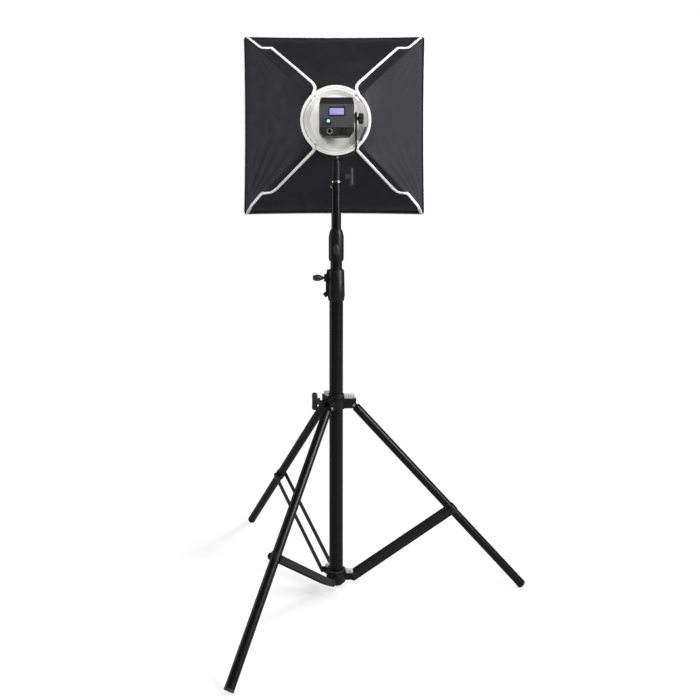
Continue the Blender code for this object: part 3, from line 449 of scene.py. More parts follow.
def cloth_white():
    """White woven polyester that lets some light through, with a ghost of its folds."""
    paint = Paint("white_cloth")
    weave = paint.weave(0.5 * MM)
    threads = paint.times(weave, 0.5)
    paint.tint(threads, (0.774, 0.774, 0.783), (0.86, 0.86, 0.87))
    paint.patchy(50, 0.6, 0.78, 4)
    paint.set("Sheen Weight", 0.2)
    paint.set("Subsurface Weight", 0.15)
    paint.set("Subsurface Scale", 2 * MM)
    creases = paint.bump(paint.noise(22, 5), 0.8 * MM)
    paint.bump(weave, 0.07 * MM, creases)
    return paint


def glow(name, colour, strength):
    """A small glowing part: a bright core that fades unevenly, as light does in moulded plastic. The dial's
    painted highlight is made with it too.
    """
    paint = Paint(name)
    paint.set("Base Color", tuple(c * 0.3 for c in colour))
    paint.set("Roughness", 0.2)
    paint.set("Emission Color", colour)
    paint.set("Emission Strength", paint.span(paint.noise(300), 0.3, 0.7, strength * 0.7, strength))
    return paint


TUBE = tube_black()
CASTING = casting_black()
STRAP = strap_black()
KNOB = knob_black()
RUBBER = rubber_black()
NYLON = nylon_white()
RIBBED_NYLON = nylon_white("ribbed_nylon", (0.5, 0.5, 0.49), (0.34, 0.34, 0.33))
STEEL = steel_bright()
CONTROL = control_black()
CREAM = ring_cream()
BLACK_CLOTH = cloth_black()
WHITE_CLOTH = cloth_white()


# -------- shapes


def new_object(name, data):
    """Puts a new object into the scene."""
    item = bpy.data.objects.new(name, data)
    bpy.context.scene.collection.objects.link(item)
    return item


def add_mesh(name, mesh, paint, body, instead=None):
    """Makes a piece that rides on this body, and stands in for a CAD node if one is named. Its one material
    slot holds its paint."""
    piece = new_object(name, mesh)
    mesh.materials.append(paint.material)
    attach(piece, body)
    if instead:
        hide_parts(instead)
    return piece


def add_piece(name, shape, paint, body, angle=40, instead=None):
    add_mesh(name, finish_mesh(name, shape, angle), paint, body, instead)


def finish_mesh(name, shape, angle):
    """Closes open ends, points the faces outwards and shades the round parts smooth."""
    bmesh.ops.remove_doubles(shape, verts=shape.verts, dist=0.002 * MM)
    bmesh.ops.recalc_face_normals(shape, faces=shape.faces)
    mesh = bpy.data.meshes.new(name)
    shape.to_mesh(mesh)
    shape.free()
    mesh.shade_smooth()
    mesh.set_sharp_from_angle(angle=math.radians(angle))
    return mesh


def sheet(shape, points):
    """Adds a grid of faces through rows of points. Each row closes on itself."""
    grid = [[shape.verts.new(p) for p in row] for row in points]
    for row, after in zip(grid, grid[1:]):
        for j in range(len(row)):
            k = (j + 1) % len(row)
            shape.faces.new((row[j], row[k], after[k], after[j]))
    return grid


def mm(*points):
    """Turns points in millimetres into metres."""
    return [tuple(value * MM for value in point) for point in points]


def fillet(points, radius, steps=4):
    """Rounds the inner corners of a line of points."""
    points = [Vector(p) for p in points]
    done = [points[0]]
    for before, here, after in zip(points, points[1:], points[2:]):
        back, ahead = before - here, after - here
        reach = min(radius, back.length / 2, ahead.length / 2)
        start, end = here + back.normalized() * reach, here + ahead.normalized() * reach
        for step in range(steps + 1):
            share = step / steps
            done.append(start.lerp(here, share).lerp(here.lerp(end, share), share))
    return done + [points[-1]]


def turned(shape, profile, place, steps, lobes=0, depth=0.0):
    """Adds a profile of (radius, height) turned about the place's Z. Lobes wave its radius."""
    angles = [math.tau * i / steps for i in range(steps)]
    widest = max(radius for radius, _ in profile)
    rows = []
    for radius, height in profile:
        swing = depth * (radius / widest) ** 3
        reaches = [radius + swing * math.cos(lobes * a) if radius > 0 else 0.0 for a in angles]
        corners = [(r * math.cos(a), r * math.sin(a), height) for r, a in zip(reaches, angles)]
        rows.append([place @ Vector(corner) for corner in corners])
    sheet(shape, rows)


def sweep(shape, path, ups, width, height, sides, closed=False):
    """Adds a tube of oval section along a path. It is this wide across the path and this high along ups."""
    count = len(path)
    angles = [math.tau * j / sides for j in range(sides)]
    rows = []
    for i, (point, up) in enumerate(zip(path, ups)):
        before = path[i - 1] if closed or i else point
        after = path[(i + 1) % count] if closed or i < count - 1 else point
        way = (after - before).normalized()
        side = way.cross(up).normalized()
        lift = side.cross(way).normalized()
        across, above = side * (width / 2), lift * (height / 2)
        rows.append([point + across * math.cos(a) + above * math.sin(a) for a in angles])
    if closed:
        rows.append(rows[0])
    grid = sheet(shape, rows)
    if not closed:
        shape.faces.new(grid[0][::-1])
        shape.faces.new(grid[-1])


def facing(axis, at):
    """A place at this point whose Z runs along the axis."""
    turn = Vector((0, 0, 1)).rotation_difference(Vector(axis)).to_matrix().to_4x4()
    return Matrix.Translation(at) @ turn


def resample(path, spacing):
    """Points at an even spacing along a path."""
    lengths = [0.0]
    for a, b in zip(path, path[1:]):
        lengths.append(lengths[-1] + (b - a).length)
    total = lengths[-1]
    count = max(2, round(total / spacing))
    marks = np.linspace(0, total, count + 1)
    table = np.array([tuple(p) for p in path])
    columns = [np.interp(marks, lengths, table[:, k]) for k in range(table.shape[1])]
    return [Vector(p) for p in zip(*columns)]


# -------- carried-over nodes


def dress(paint, *names, edge=0.35 * MM):
    """Paints nodes, and gives them modifiers that weld their facets and round their edges."""
    for name in names:
        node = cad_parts[name]
        mesh = node.data
        mesh.materials.clear()
        mesh.materials.append(paint.material)
        if "custom_normal" in mesh.attributes:
            mesh.attributes.remove(mesh.attributes["custom_normal"])
        mesh.shade_smooth()
        weld = node.modifiers.new("weld", "WELD")
        weld.merge_threshold = 0.005 * MM
        faces = node.modifiers.new("whole_faces", "DECIMATE")
        faces.decimate_type = "DISSOLVE"
        faces.angle_limit = math.radians(1)
        rounding = node.modifiers.new("rounded_edges", "BEVEL")
        rounding.width = edge
        rounding.segments = 2
        rounding.limit_method = "ANGLE"
        rounding.angle_limit = math.radians(32)
        rounding.harden_normals = True


def dress_frame():
    three = "abc"
    dress(TUBE, "column_tube", "middle_tube", "upper_tube")
    for c in three:
        outward = middle("foot_" + c) - Vector((0, 0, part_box("leg_collar")[0].z))
        dress(tube_black("gloss_black_leg_" + c, outward), "leg_" + c)
    dress(CASTING, "lower_clamp_collar", "upper_clamp_collar", "leg_collar", "base_collar", "yoke_socket")
    dress(CASTING, *[f"{part}_{c}" for part in ("leg_clip", "leg_plug", "base_bush") for c in three])
    dress(STRAP, "yoke_arm", *[f"brace_{c}" for c in three])
    dress(RUBBER, "column_base_cap", *[f"foot_{c}" for c in three])
    dress(NYLON, "middle_tube_slider")
    dress(KNOB, "lower_clamp_bolt")
    dress(STEEL, "spigot", "spigot_screw", "tilt_washer")
    dress(socket_metal(), "dc_socket", edge=0.2 * MM)
    dress(STEEL, *[f"leg_pivot_{c}" for c in three])
    dress(shell_black(), "lamp_housing")
    dress(panel_charcoal(), "lamp_rear_panel")
    dress(CONTROL, "power_switch", "fan_rotor")
    dress(display_glass(), "display_window", edge=0.2 * MM)
    dress(sink_aluminium(), "heat_sink")
    dress(board_green(), "driver_board")
    dress(source_yellow(), "led_module")
    dress(mount_black(), "lamp_front_ring")
    rods = [f"rib_{end}_{side}" for end in ("top", "bottom") for side in ("left", "right")]
    dress(rod_steel(), *rods, edge=0.1 * MM)


# -------- softbox cover


def soft_max(a, b, blur):
    """The larger of the two, with the step between them rounded."""
    return 0.5 * (a + b + np.sqrt((a - b) ** 2 + blur**2))


def round_square(count):
    """The x and z of places round a unit square, this many to a side."""
    across = np.linspace(-1, 1, count, endpoint=False)
    one = np.ones_like(across)
    return np.concatenate([one, -across, -one, across]), np.concatenate([across, one, -across, -one])


def bow_in(ux, uz, depth):
    """How far sides that bow in by this depth pull places round a unit square, in x and z."""
    on_side = np.abs(ux) >= np.abs(uz)
    pull = depth * (1 - np.where(on_side, uz, ux) ** 2)
    return pull * np.where(on_side, np.sign(ux), 0), pull * np.where(on_side, 0, np.sign(uz))


def cover_base(reach, ux, uz):
    """The tensioned cover before its folds: round at the ring, square from a third of the way out."""
    share = (reach - COVER_HOLE) / (HALF_WIDTH - COVER_HOLE)
    roundness = np.clip(1 - share / 0.34, 0, 1) ** 1.4
    length = np.hypot(ux, uz)
    ratio = 1 - (1 - HALF_HEIGHT / HALF_WIDTH) * (1 - roundness)
    bow_x, bow_z = bow_in(ux, uz, SIDE_BOW * share**4)
    x = reach * (ux * (1 - roundness) + ux / length * roundness) - bow_x
    z = reach * (uz * (1 - roundness) + uz / length * roundness) * ratio - bow_z
    shoulder = HALF_WIDTH - SHOULDER_INSET
    shoulder_y = RIM_Y - LIP_DEPTH
    start = COVER_HOLE + 6 * MM
    slope = (shoulder_y - COVER_Y) / (shoulder - start)
    y = soft_max(COVER_Y, COVER_Y + (reach - start) * slope, 6 * MM)
    lip = shoulder_y + (reach - shoulder) * LIP_DEPTH / SHOULDER_INSET
    y = soft_max(y, lip, 5 * MM)
    return x, y - (y[-1:, :] - RIM_Y), z


def seam_path(side):
    """The seam with the white piping, as (x, z) about the axis: a line beside each rib, a jog near each
    corner, a hook where it meets the ring, and an arc round the ring."""
    wide, high = HALF_WIDTH, HALF_HEIGHT
    top_corner = [(wide - x * MM, high - z * MM) for x, z in ((8, 1), (50, 40), (80, 40))]
    top_hook = mm((60, 99), (53, 86))
    low_corner = [(wide - x * MM, z * MM - high) for x, z in ((7, 1), (21, 21), (55, 58))]
    low_rib = [(wide - x * MM, z * MM - high) for x, z in ((81, 61), (97, 73))] + mm((54, -76))
    radius = RING_RADIUS - 3.5 * MM
    start = math.acos(60 * MM / radius)
    arc = [(radius * math.cos(a), radius * math.sin(a)) for a in np.linspace(start, -start, 30)]
    upper = fillet(top_corner, 6 * MM) + fillet([top_corner[-1], *top_hook, arc[0]], 12 * MM, 6)[1:-1]
    lower = fillet([arc[-1], low_rib[-1], low_rib[-2]], 8 * MM, 6)[1:-1]
    lower += fillet([*reversed(low_rib[:-1]), *reversed(low_corner)], 6 * MM)
    return [Vector((side * p[0], p[1])) for p in (*upper, *arc, *lower)]


def distance_to_path(x, z, path):
    """How far each point is from a line of (x, z) points."""
    best = np.full(x.shape, 1.0)
    for a, b in zip(path, path[1:]):
        way = b - a
        along = ((x - a.x) * way.x + (z - a.y) * way.y) / max(way.length_squared, 1e-12)
        along = np.clip(along, 0, 1)
        best = np.minimum(best, np.hypot(x - a.x - along * way.x, z - a.y - along * way.y))
    return best


def fan_folds(x, z, corner_x, corner_z, first, spread, start, end, depth):
    """Folds that fan out of a corner. Angles are in degrees from the diagonal towards the side edge."""
    dx, dz = (corner_x - x) * np.sign(corner_x), (corner_z - z) * np.sign(corner_z)
    reach = np.hypot(dx, dz)
    angle = np.degrees(np.arctan2(dz, dx)) - 45
    inside = np.clip((angle - first) / 3, 0, 1) * np.clip((first + spread - angle) / 8, 0, 1)
    window = np.clip((reach - start) / (40 * MM), 0, 1) * np.clip((end - reach) / (90 * MM), 0, 1)
    return depth * inside * window * np.cos(np.radians((angle - first) * 42 + reach / MM * 0.35))


def cloud(x, z, scale, seed):
    """Smooth seeded noise over the cover, from -1 to 1."""
    flat = [noise.noise(Vector((a * scale, seed, b * scale))) for a, b in zip(x.ravel(), z.ravel())]
    return np.array(flat).reshape(x.shape)


def cover_folds(reach, ux, uz, x, z):
    """How far each point of the cover stands off its tensioned shape, along its normal."""
    share = (reach - COVER_HOLE) / (HALF_WIDTH - COVER_HOLE)
    across = np.where(np.abs(ux) >= np.abs(uz), uz, ux)
    sag = -7 * MM * (1 - across**2) ** 1.5 * np.sin(math.pi * np.clip(share / 0.9, 0, 1)) ** 0.8
    from_rib = np.abs(np.abs(x) - np.abs(z) * HALF_WIDTH / HALF_HEIGHT) / math.sqrt(2)
    rib = 2.2 * MM * np.exp(-((from_rib / (9 * MM)) ** 2)) * np.clip(share * 5, 0, 1)
    seam = np.minimum(distance_to_path(x, z, seam_path(1)), distance_to_path(x, z, seam_path(-1)))
    held = np.exp(-((seam / (12 * MM)) ** 2))
    pucker = 0.7 * MM * np.exp(-((seam / (16 * MM)) ** 2)) * cloud(x, z, 90, 3.1)
    loose = 1.6 * MM * cloud(x, z, 11, 7.7) + 0.8 * MM * cloud(x, z, 34, 1.4)
    folds = 0 * x
    on_side = np.clip((np.abs(x) - np.abs(z)) / (10 * MM) + 1, 0, 1)
    for sign in (-1, 1):
        corner_x = sign * HALF_WIDTH
        folds += on_side * fan_folds(x, z, corner_x, -HALF_HEIGHT, 3, 34, 45 * MM, 260 * MM, 1.7 * MM)
        folds += on_side * fan_folds(x, z, corner_x, HALF_HEIGHT, 5, 24, 60 * MM, 210 * MM, 0.8 * MM)
    top = (1 - on_side) * 1.4 * MM * np.sin(x * 60 + 8 * cloud(x, z, 9, 5.5)) * np.clip(share * 2 - 0.9, 0, 1)
    free = np.clip(share / 0.06, 0, 1) * np.clip((1 - share) / 0.07, 0, 1)
    return (sag + rib + (loose + folds + top) * (1 - held) + pucker) * free


def grid_normals(points):
    """Unit normals of a grid whose rows close on themselves, pointing back and outwards."""
    along = np.roll(points, -1, axis=1) - np.roll(points, 1, axis=1)
    out = np.gradient(points, axis=0)
    normal = np.cross(out, along)
    normal /= np.linalg.norm(normal, axis=2, keepdims=True)
    return -normal if normal[..., 1].mean() > 0 else normal


def cloth_sheet(name, points, way, thickness, paint, node):
    """A sheet of cloth through a grid of points, facing this way along Y, in place of a CAD node."""
    shape = bmesh.new()
    sheet(shape, points.tolist())
    mesh = finish_mesh(name, shape, 180)
    if sum(p.normal.y for p in mesh.polygons) * way < 0:
        mesh.flip_normals()
    cloth = add_mesh(name, mesh, paint, "softbox", node).modifiers.new("cloth", "SOLIDIFY")
    cloth.thickness = thickness
    cloth.offset = -1
    return mesh


def softbox_cover():
    rows, columns = 84, 120
    reach = np.linspace(COVER_HOLE, HALF_WIDTH, rows)[:, None]
    reach, ux, uz = np.broadcast_arrays(reach, *round_square(columns))
    x, y, z = cover_base(reach, ux, uz)
    points = np.stack([x, y, z], axis=2)
    points = points + grid_normals(points) * cover_folds(reach, ux, uz, x, z)[..., None]
    points[..., 2] += AXIS_Z
    mesh = cloth_sheet("cover_sheet", points, -1, 1.0 * MM, BLACK_CLOTH, "softbox_cover")
    return BVHTree.FromPolygons([v.co for v in mesh.vertices], [p.vertices for p in mesh.polygons])


def drape(tree, path, lift):
    """Lays a path of (x, z) points about the axis on the cover, and returns its points and their normals."""
    points, normals = [], []
    for p in path:
        hit, normal, _, _ = tree.ray_cast(Vector((p.x, -1, AXIS_Z + p.y)), Vector((0, 1, 0)))
        if hit is None:
            continue
        normal = -normal if normal.y > 0 else normal
        over_ring = RING_RADIUS + 5 * MM - p.length
        point = hit + normal * lift
        point.y -= min(max(over_ring, 0.0), 6 * MM) / (6 * MM) * max(point.y - RING_Y + 1.2 * MM, 0.0)
        points.append(point)
        normals.append(normal)
    return points, normals


def stitch_row(shape, path, ups, pitch, length, radius):
    """Adds short threads that follow a path."""
    spots = resample(path, pitch)
    last = len(spots) - 1
    for i in range(last):
        way = (spots[i + 1] - spots[i]).normalized()
        up = ups[round(i * (len(ups) - 1) / last)]
        bends = ((0.0, -0.3), (0.2, 1.0), (0.8, 1.0), (1.0, -0.3))
        line = [spots[i] + way * (length * share) + up * radius * lift for share, lift in bends]
        sweep(shape, line, [up] * 4, radius * 2, radius * 2, sides=5)


def piping(tree):
    for side, name in ((-1, "left"), (1, "right")):
        path = resample(seam_path(side), 3 * MM)
        points, normals = drape(tree, path, PIPING_HEIGHT * 0.3)
        shape = bmesh.new()
        sweep(shape, points, normals, PIPING_WIDTH, PIPING_HEIGHT, sides=12)
        add_piece("piping_" + name, shape, WHITE_CLOTH, "softbox", 80)
        shape = bmesh.new()
        for offset in (-1, 1):
            away = offset * (PIPING_WIDTH / 2 + 1.4 * MM)
            row = [
                p + away * (b - a).cross(n).normalized() - n * PIPING_HEIGHT * 0.3
                for p, n, a, b in zip(points[1:-1], normals[1:-1], points, points[2:])
            ]
            stitch_row(shape, row, normals[1:-1], 4 * MM, 2.8 * MM, 0.3 * MM)
        add_piece("piping_stitches_" + name, shape, CONTROL, "softbox", 80)


def rim_loop(grow, y):
    """A square loop round the rim, this much outside it, with rounded corners and sides that bow in."""
    corner = 5 * MM
    wide, high = HALF_WIDTH + grow, HALF_HEIGHT + grow
    square = [(wide, 0), (wide, high), (-wide, high), (-wide, -high), (wide, -high), (wide, 0)]
    loop = resample(fillet(square, corner, 5), 6 * MM)[:-1]
    bent = []
    for p in loop:
        side_bow = SIDE_BOW * max(0.0, 1 - (p.y / high) ** 2) * (abs(p.x) > wide - corner)
        end_bow = SIDE_BOW * max(0.0, 1 - (p.x / wide) ** 2) * (abs(p.y) > high - corner)
        x, z = p.x - math.copysign(side_bow, p.x), p.y - math.copysign(end_bow, p.y)
        bent.append(Vector((x, y, AXIS_Z + z)))
    return bent


def rim_hem():
    """The cover's folded black hem, and the white tape that binds the front cloth to it."""
    bands = (
        ("cover_hem", -0.2, -3, 3.0, 8, BLACK_CLOTH),
        ("edge_binding", 1.8, 4.2, 3.2, 9, WHITE_CLOTH),
    )
    for name, outset, ahead, width, height, paint in bands:
        shape = bmesh.new()
        loop = rim_loop(outset * MM, RIM_Y + ahead * MM)
        ups = [Vector((0, -1, 0))] * len(loop)
        sweep(shape, loop, ups, width * MM, height * MM, sides=12, closed=True)
        add_piece(name, shape, paint, "softbox", 80)
    shape = bmesh.new()
    row = rim_loop(3.4 * MM, RIM_Y + 4.2 * MM)
    ups = [Vector((p.x, 0, p.z - AXIS_Z)).normalized() for p in row]
    stitch_row(shape, row + row[:1], ups + ups[:1], 5 * MM, 3.4 * MM, 0.25 * MM)
    add_piece("binding_stitches", shape, WHITE_CLOTH, "softbox", 80)


def front_cloth():
    """The white front: one sheet, crowned a little, drawn tight to the corners and slack between them."""
    rows, columns = 60, 96
    share = np.linspace(0, 1, rows)[:, None] ** 0.8
    ux, uz = round_square(columns)
    bow_x, bow_z = bow_in(ux, uz, SIDE_BOW * share**3)
    x = share * ux * (HALF_WIDTH - 1.2 * MM) - bow_x
    z = share * uz * (HALF_HEIGHT - 1.2 * MM) - bow_z
    inward, down = HALF_WIDTH - np.abs(x), HALF_HEIGHT - np.abs(z)
    crown = DIFFUSER_HIGH.y - 2 * MM - 7 * MM * share**2
    fan = np.cos(np.degrees(np.arctan2(down, inward)) * 0.35)
    corners = 2.6 * MM * fan * np.exp(-np.hypot(down, inward) / (90 * MM))
    slack = 3.2 * MM * cloud(x, z, 7, 2.2) * (1 - share**6) + 1.1 * MM * cloud(x, z, 26, 9.1) * (1 - share**8)
    edge = 0.96 * MM * np.exp(-(((1 - share) * HALF_WIDTH - 12 * MM) / (4 * MM)) ** 2)
    y = crown + corners * (1 - share**12) + slack - edge
    y = np.where(share > 0.985, y - (share - 0.985) / 0.015 * 6 * MM, y)
    points = np.stack(np.broadcast_arrays(x, y, z + AXIS_Z), axis=2)
    cloth_sheet("front_cloth", points, 1, 0.6 * MM, WHITE_CLOTH, "front_diffuser")


# -------- ring


def speedring():
    """The white ring: a flange with two raised steps, a deep dish, and a bead round the lamp's mount."""
    # How far inside the rim and how deep, in millimetres
    back = [(0, 4.4), (0, 0.8), (7, 0), (8, 2.6), (10, 2.6), (11, 0.4), (13.5, 0.4), (14.3, 3.4), (16.5, 3.8)]
    back += [(25, 11.4), (38, 11.8), (47.8, 11.9), (48.8, 9.8), (50.3, 9.8), (50.3, 14.4)]
    front = [(38, 14.2), (25, 13.8), (16, 6.4), (13, 5.2), (0, 4.4)]
    seen, unseen = [[(RING_RADIUS - r * MM, RING_Y + y * MM) for r, y in side] for side in (back, front)]
    place = Matrix.Translation((0, 0, AXIS_Z)) @ Matrix.Rotation(-math.pi / 2, 4, "X")
    shape = bmesh.new()
    turned(shape, fillet(seen, 1.0 * MM) + unseen, place, 96)
    add_piece("ring", shape, CREAM, "softbox", 50, "speedring")
    rib_roots()


def rib_roots():
    """Where each rib hinges on the flange: a raised pad with two rivets."""
    pads, rivets = bmesh.new(), bmesh.new()
    for quarter in range(4):
        turn = Matrix.Rotation(math.pi / 4 + quarter * math.pi / 2, 4, "Y")
        place = Matrix.Translation((0, 0, AXIS_Z)) @ turn
        pad = place @ Matrix.Translation((RING_RADIUS - 9 * MM, RING_Y + 0.7 * MM, 0))
        bmesh.ops.create_cube(pads, size=1.0, matrix=pad @ Matrix.Diagonal((13 * MM, 2.4 * MM, 22 * MM, 1)))
        for side in (-1, 1):
            at = pad @ Vector((0, -1.1 * MM, side * 7 * MM))
            dome = mm((2.3, 0), (2.3, 0.5), (1.6, 1.1), (0.6, 1.3), (0, 1.3))
            turned(rivets, dome, facing((0, -1, 0), at), 16)
    edges = list(pads.edges)
    bmesh.ops.bevel(pads, geom=edges, offset=0.9 * MM, segments=3, affect="EDGES", clamp_overlap=True)
    add_piece("rib_root_pads", pads, CREAM, "softbox", 50)
    add_piece("rib_root_rivets", rivets, STEEL, "softbox")


# -------- controls and knobs


def tilt_star_knob():
    """A knob with seven lobes and a hollowed face."""
    place, length = face_place("tilt_knob", (1, 0, 0))
    place = place @ Matrix.Diagonal((MM, MM, MM, 1))
    foot = -length / MM
    face = [(0, -2.2), (5.58, -2.2), (7.44, -0.6), (10.168, 0), (12, -1.6), (12.4, -4)]
    back = [(12.4, -11), (10.9, -13), (6.82, -13), (6.2, -15), (4, -15), (4, foot), (0, foot)]
    shape = bmesh.new()
    turned(shape, fillet(face + back, 0.9, 3), place, 84, 7, 1.9)
    add_piece("tilt_star_knob", shape, KNOB, "tilt_lock", 60, "tilt_knob")


def face_place(node, axis):
    """A place at the outer end of a node, in the middle of it, whose Z runs out along the axis."""
    low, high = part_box(node)
    centre, axis = middle(node), Vector(axis)
    outer = Vector([h if a > 0 else l for a, h, l in zip(axis, high, low)])
    return facing(axis, centre + axis * (outer - centre).dot(axis)), abs((high - low).dot(axis))


def oval_knob(name, node, body, axis):
    """A barrel-shaped grip with shallow flutes, on a neck and a plain stem, in place of a CAD one."""
    place, total = face_place(node, axis)
    length, wide, deep = 23.5 * MM, 16 * MM, 30 * MM
    turns = np.linspace(0, math.pi, 19)[1:-1]
    barrel = [(deep / 2 * math.sin(t) ** 0.55, -length / 2 * (1 - math.cos(t))) for t in turns]
    shape = bmesh.new()
    squeeze = Matrix.Diagonal((wide / deep, 1, 1, 1))
    turned(shape, [(0, 0), *barrel, (0, -length)], place @ squeeze, 96, 16, 0.4 * MM)
    top, foot = MM - length, -length - 2.4 * MM
    neck = [(0, top), (5 * MM, top), (5 * MM, foot), (3 * MM, foot - 0.2 * MM)]
    turned(shape, [*neck, (3 * MM, -total), (0, -total)], place, 32)
    add_piece(name, shape, KNOB, body, 60, node)


def t_handle(name, node, body, axis):
    """A T-handle: a bar that swells towards its ends, on a tapered hub and a plain stem."""
    place, total = face_place(node, axis)
    low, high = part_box(node)
    half, thickness = (high.z - low.z) / 2, 17 * MM
    rows = []
    for share in np.linspace(-1, 1, 25):
        swell = 0.8 + 0.2 * share**2
        rounding = (1 - abs(share) ** 7) ** 0.5
        rows.append((thickness / 2 * swell * rounding, half * share))
    bar = Matrix.Translation(place @ Vector((0, 0, -thickness / 2))) @ Matrix.Diagonal((1, 0.85, 1, 1))
    shape = bmesh.new()
    turned(shape, rows, bar, 40)
    foot = -14 * MM - thickness / 2
    hub = [(0, foot + 12 * MM), (7.5 * MM, foot + 12 * MM), (9 * MM, foot), (3 * MM, foot - 0.2 * MM)]
    turned(shape, [*hub, (3 * MM, -total), (0, -total)], place, 32)
    add_piece(name, shape, KNOB, body, 50, node)


def hand_knobs():
    tilt_star_knob()
    oval_knob("lower_grip", "lower_clamp_knob", "lower_lock", (-1, 0, 0))
    oval_knob("upper_grip", "upper_clamp_knob", "upper_lock", (0, -1, 0))
    t_handle("leg_lock_handle", "leg_collar_knob", "leg_lock", (-1, 0, 0))
    t_handle("yoke_lock_handle", "socket_handle", "socket_lock", (1, 0, 0))


def prism(shape, outline, half, place):
    """Adds a rounded block: an outline of (x, z) points in millimetres, as deep as this to both sides."""
    corners = [place @ Vector((x * MM, y, z * MM)) for y in (-half, half) for x, z in outline]
    count = len(outline)
    verts = [shape.verts.new(corner) for corner in corners]
    near, far = verts[:count], verts[count:]
    faces = [shape.faces.new(near), shape.faces.new(far[::-1])]
    for i in range(count):
        k = (i + 1) % count
        faces.append(shape.faces.new((near[k], near[i], far[i], far[k])))
    edges = {edge for face in faces for edge in face.edges}
    bmesh.ops.bevel(shape, geom=list(edges), offset=0.7 * MM, segments=3, affect="EDGES")


def collar_blocks():
    """Ribbed blocks on the leg forks and the base lugs. Two of each three are white nylon, one is black."""
    leg_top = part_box("leg_collar")[1].z
    fork = [(20.4, -12.6), (49.6, -12.6), (50.2, -9.5), (47.5, -4.5), (41, -2.2), (20.4, -2.2)]
    lug = [(25.2, 26.9), (42.3, 26.9), (43.2, 30), (41.5, 34), (37, 35.6), (25.2, 35.6)]
    kinds = (("fork", fork, leg_top, "leg_carriage"), ("lug", lug, 0.0, "stand_base"))
    for kind, outline, base, body in kinds:
        start, end = outline[0][0] + 3, outline[3][0] - 2
        foot, top = outline[0][1], outline[-1][1] - 1
        white, black = bmesh.new(), bmesh.new()
        for c, shape in zip("abc", (white, white, black)):
            foot_place = middle("foot_" + c)
            turn = Matrix.Rotation(math.atan2(foot_place.y, foot_place.x), 4, "Z")
            place = Matrix.Translation((0, 0, base)) @ turn
            prism(shape, outline, 6.4 * MM, place)
            for x in np.arange(start, end, 4.2):
                rib = [(x, foot), (x + 1.8, foot), (x + 1.8, top), (x, top)]
                prism(shape, rib, 8.2 * MM, place)
        add_piece(kind + "_blocks", white, RIBBED_NYLON, body)
        add_piece(kind + "_block_black", black, CASTING, body)


def dial():
    """The push-and-turn dial: fine grip ribs, a dished face with a painted highlight (a small glowing spot
    for the light mirrored in its cap), and a lit ring behind it.
    """
    low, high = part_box("control_dial")
    centre = middle("control_dial")
    radius = (high.x - low.x) / 2 - 0.3 * MM
    depth = high.y - low.y
    place = facing((0, -1, 0), (centre.x, low.y, centre.z))
    face = [(0, -0.9 * MM), (radius * 0.62, -0.8 * MM), (radius * 0.8, 0), (radius * 0.93, -0.2 * MM)]
    side = [(radius, -1.6 * MM), (radius, -7 * MM), (radius - 0.6 * MM, -7.4 * MM)]
    stem = [(3 * MM, -7.4 * MM), (3 * MM, -depth), (0, -depth)]
    shape = bmesh.new()
    turned(shape, fillet(face + side + stem, 0.6 * MM, 3), place, 160, 40, 0.22 * MM)
    add_piece("dial_cap", shape, CONTROL, "dial", 60, "control_dial")
    # Painted highlight: a glowing spot on the cap's face stands in for the light mirrored in it.
    reach = radius * 0.44
    highlight_spot = [(0, 0.7 * MM), (radius * 0.36, 0.6 * MM), (reach, 0.1 * MM), (reach, -MM), (0, -MM)]
    highlight_place = facing((0, -1, 0), (centre.x, low.y, centre.z + radius * 0.12))
    section = [(0.2, -7.3), (1.1, -7.3), (1.1, -6.4), (0.2, -6.4), (0.2, -7.3)]
    halo = [(radius + out * MM, y * MM) for out, y in section]
    lit = (
        ("dial_painted_highlight", highlight_spot, highlight_place, 40, (0.62, 0.95, 1.0), 1.0),
        ("dial_halo", halo, place, 64, (0.02, 0.2, 0.25), 0.25),
    )
    for name, profile, where, steps, colour, strength in lit:
        shape = bmesh.new()
        turned(shape, profile, where, steps)
        add_piece(name, shape, glow(name, colour, strength), "dial", 60)


def lever_channel():
    """The release lever: a tapered channel with turned-up edges, in place of the CAD's flat plate."""
    centre = middle("release_lever")
    centre.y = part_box("release_lever")[0].y
    place = Matrix.Translation(centre) @ Matrix.Rotation(math.radians(23), 4, "Y")
    floor = [(-3, -20), (3, -20), (5.2, -17), (4, 18.5), (2, 20.5), (-2, 20.5), (-4, 18.5), (-5.2, -17)]
    shape = bmesh.new()
    prism(shape, floor, 0.8 * MM, place @ Matrix.Translation((0, 0.8 * MM, 0)))
    metal = lever_grey("lever_metal", (0.1, 0.1, 0.105))
    add_piece("lever_channel", shape, metal, "lever", instead="release_lever")
    shape = bmesh.new()
    for side in (-1, 1):
        edge = [(side * 5.2, -17), (side * 3.6, -17), (side * 2.4, 18.5), (side * 4, 18.5)]
        prism(shape, edge, 1.6 * MM, place @ Matrix.Translation((0, -0.4 * MM, 0)))
    # Painted highlight: the turned-up edges take a lighter copy of the lever's steel, for the light that
    # catches them.
    bright = lever_grey("lever_edge_painted_highlight", (0.45, 0.45, 0.46))
    add_piece("lever_edges", shape, bright, "lever")


def base_seal():
    """A black ring that fills the base cup's mouth round the column."""
    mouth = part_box("base_collar")[1].z
    ring = mm((17.8, -6), (23.2, -6), (23.2, -0.6), (21, 0.4), (18.4, 0.4), (17.8, -0.4), (17.8, -6))
    shape = bmesh.new()
    turned(shape, ring, Matrix.Translation((0, 0, mouth)), 64)
    add_piece("base_seal", shape, RUBBER, "stand_base")


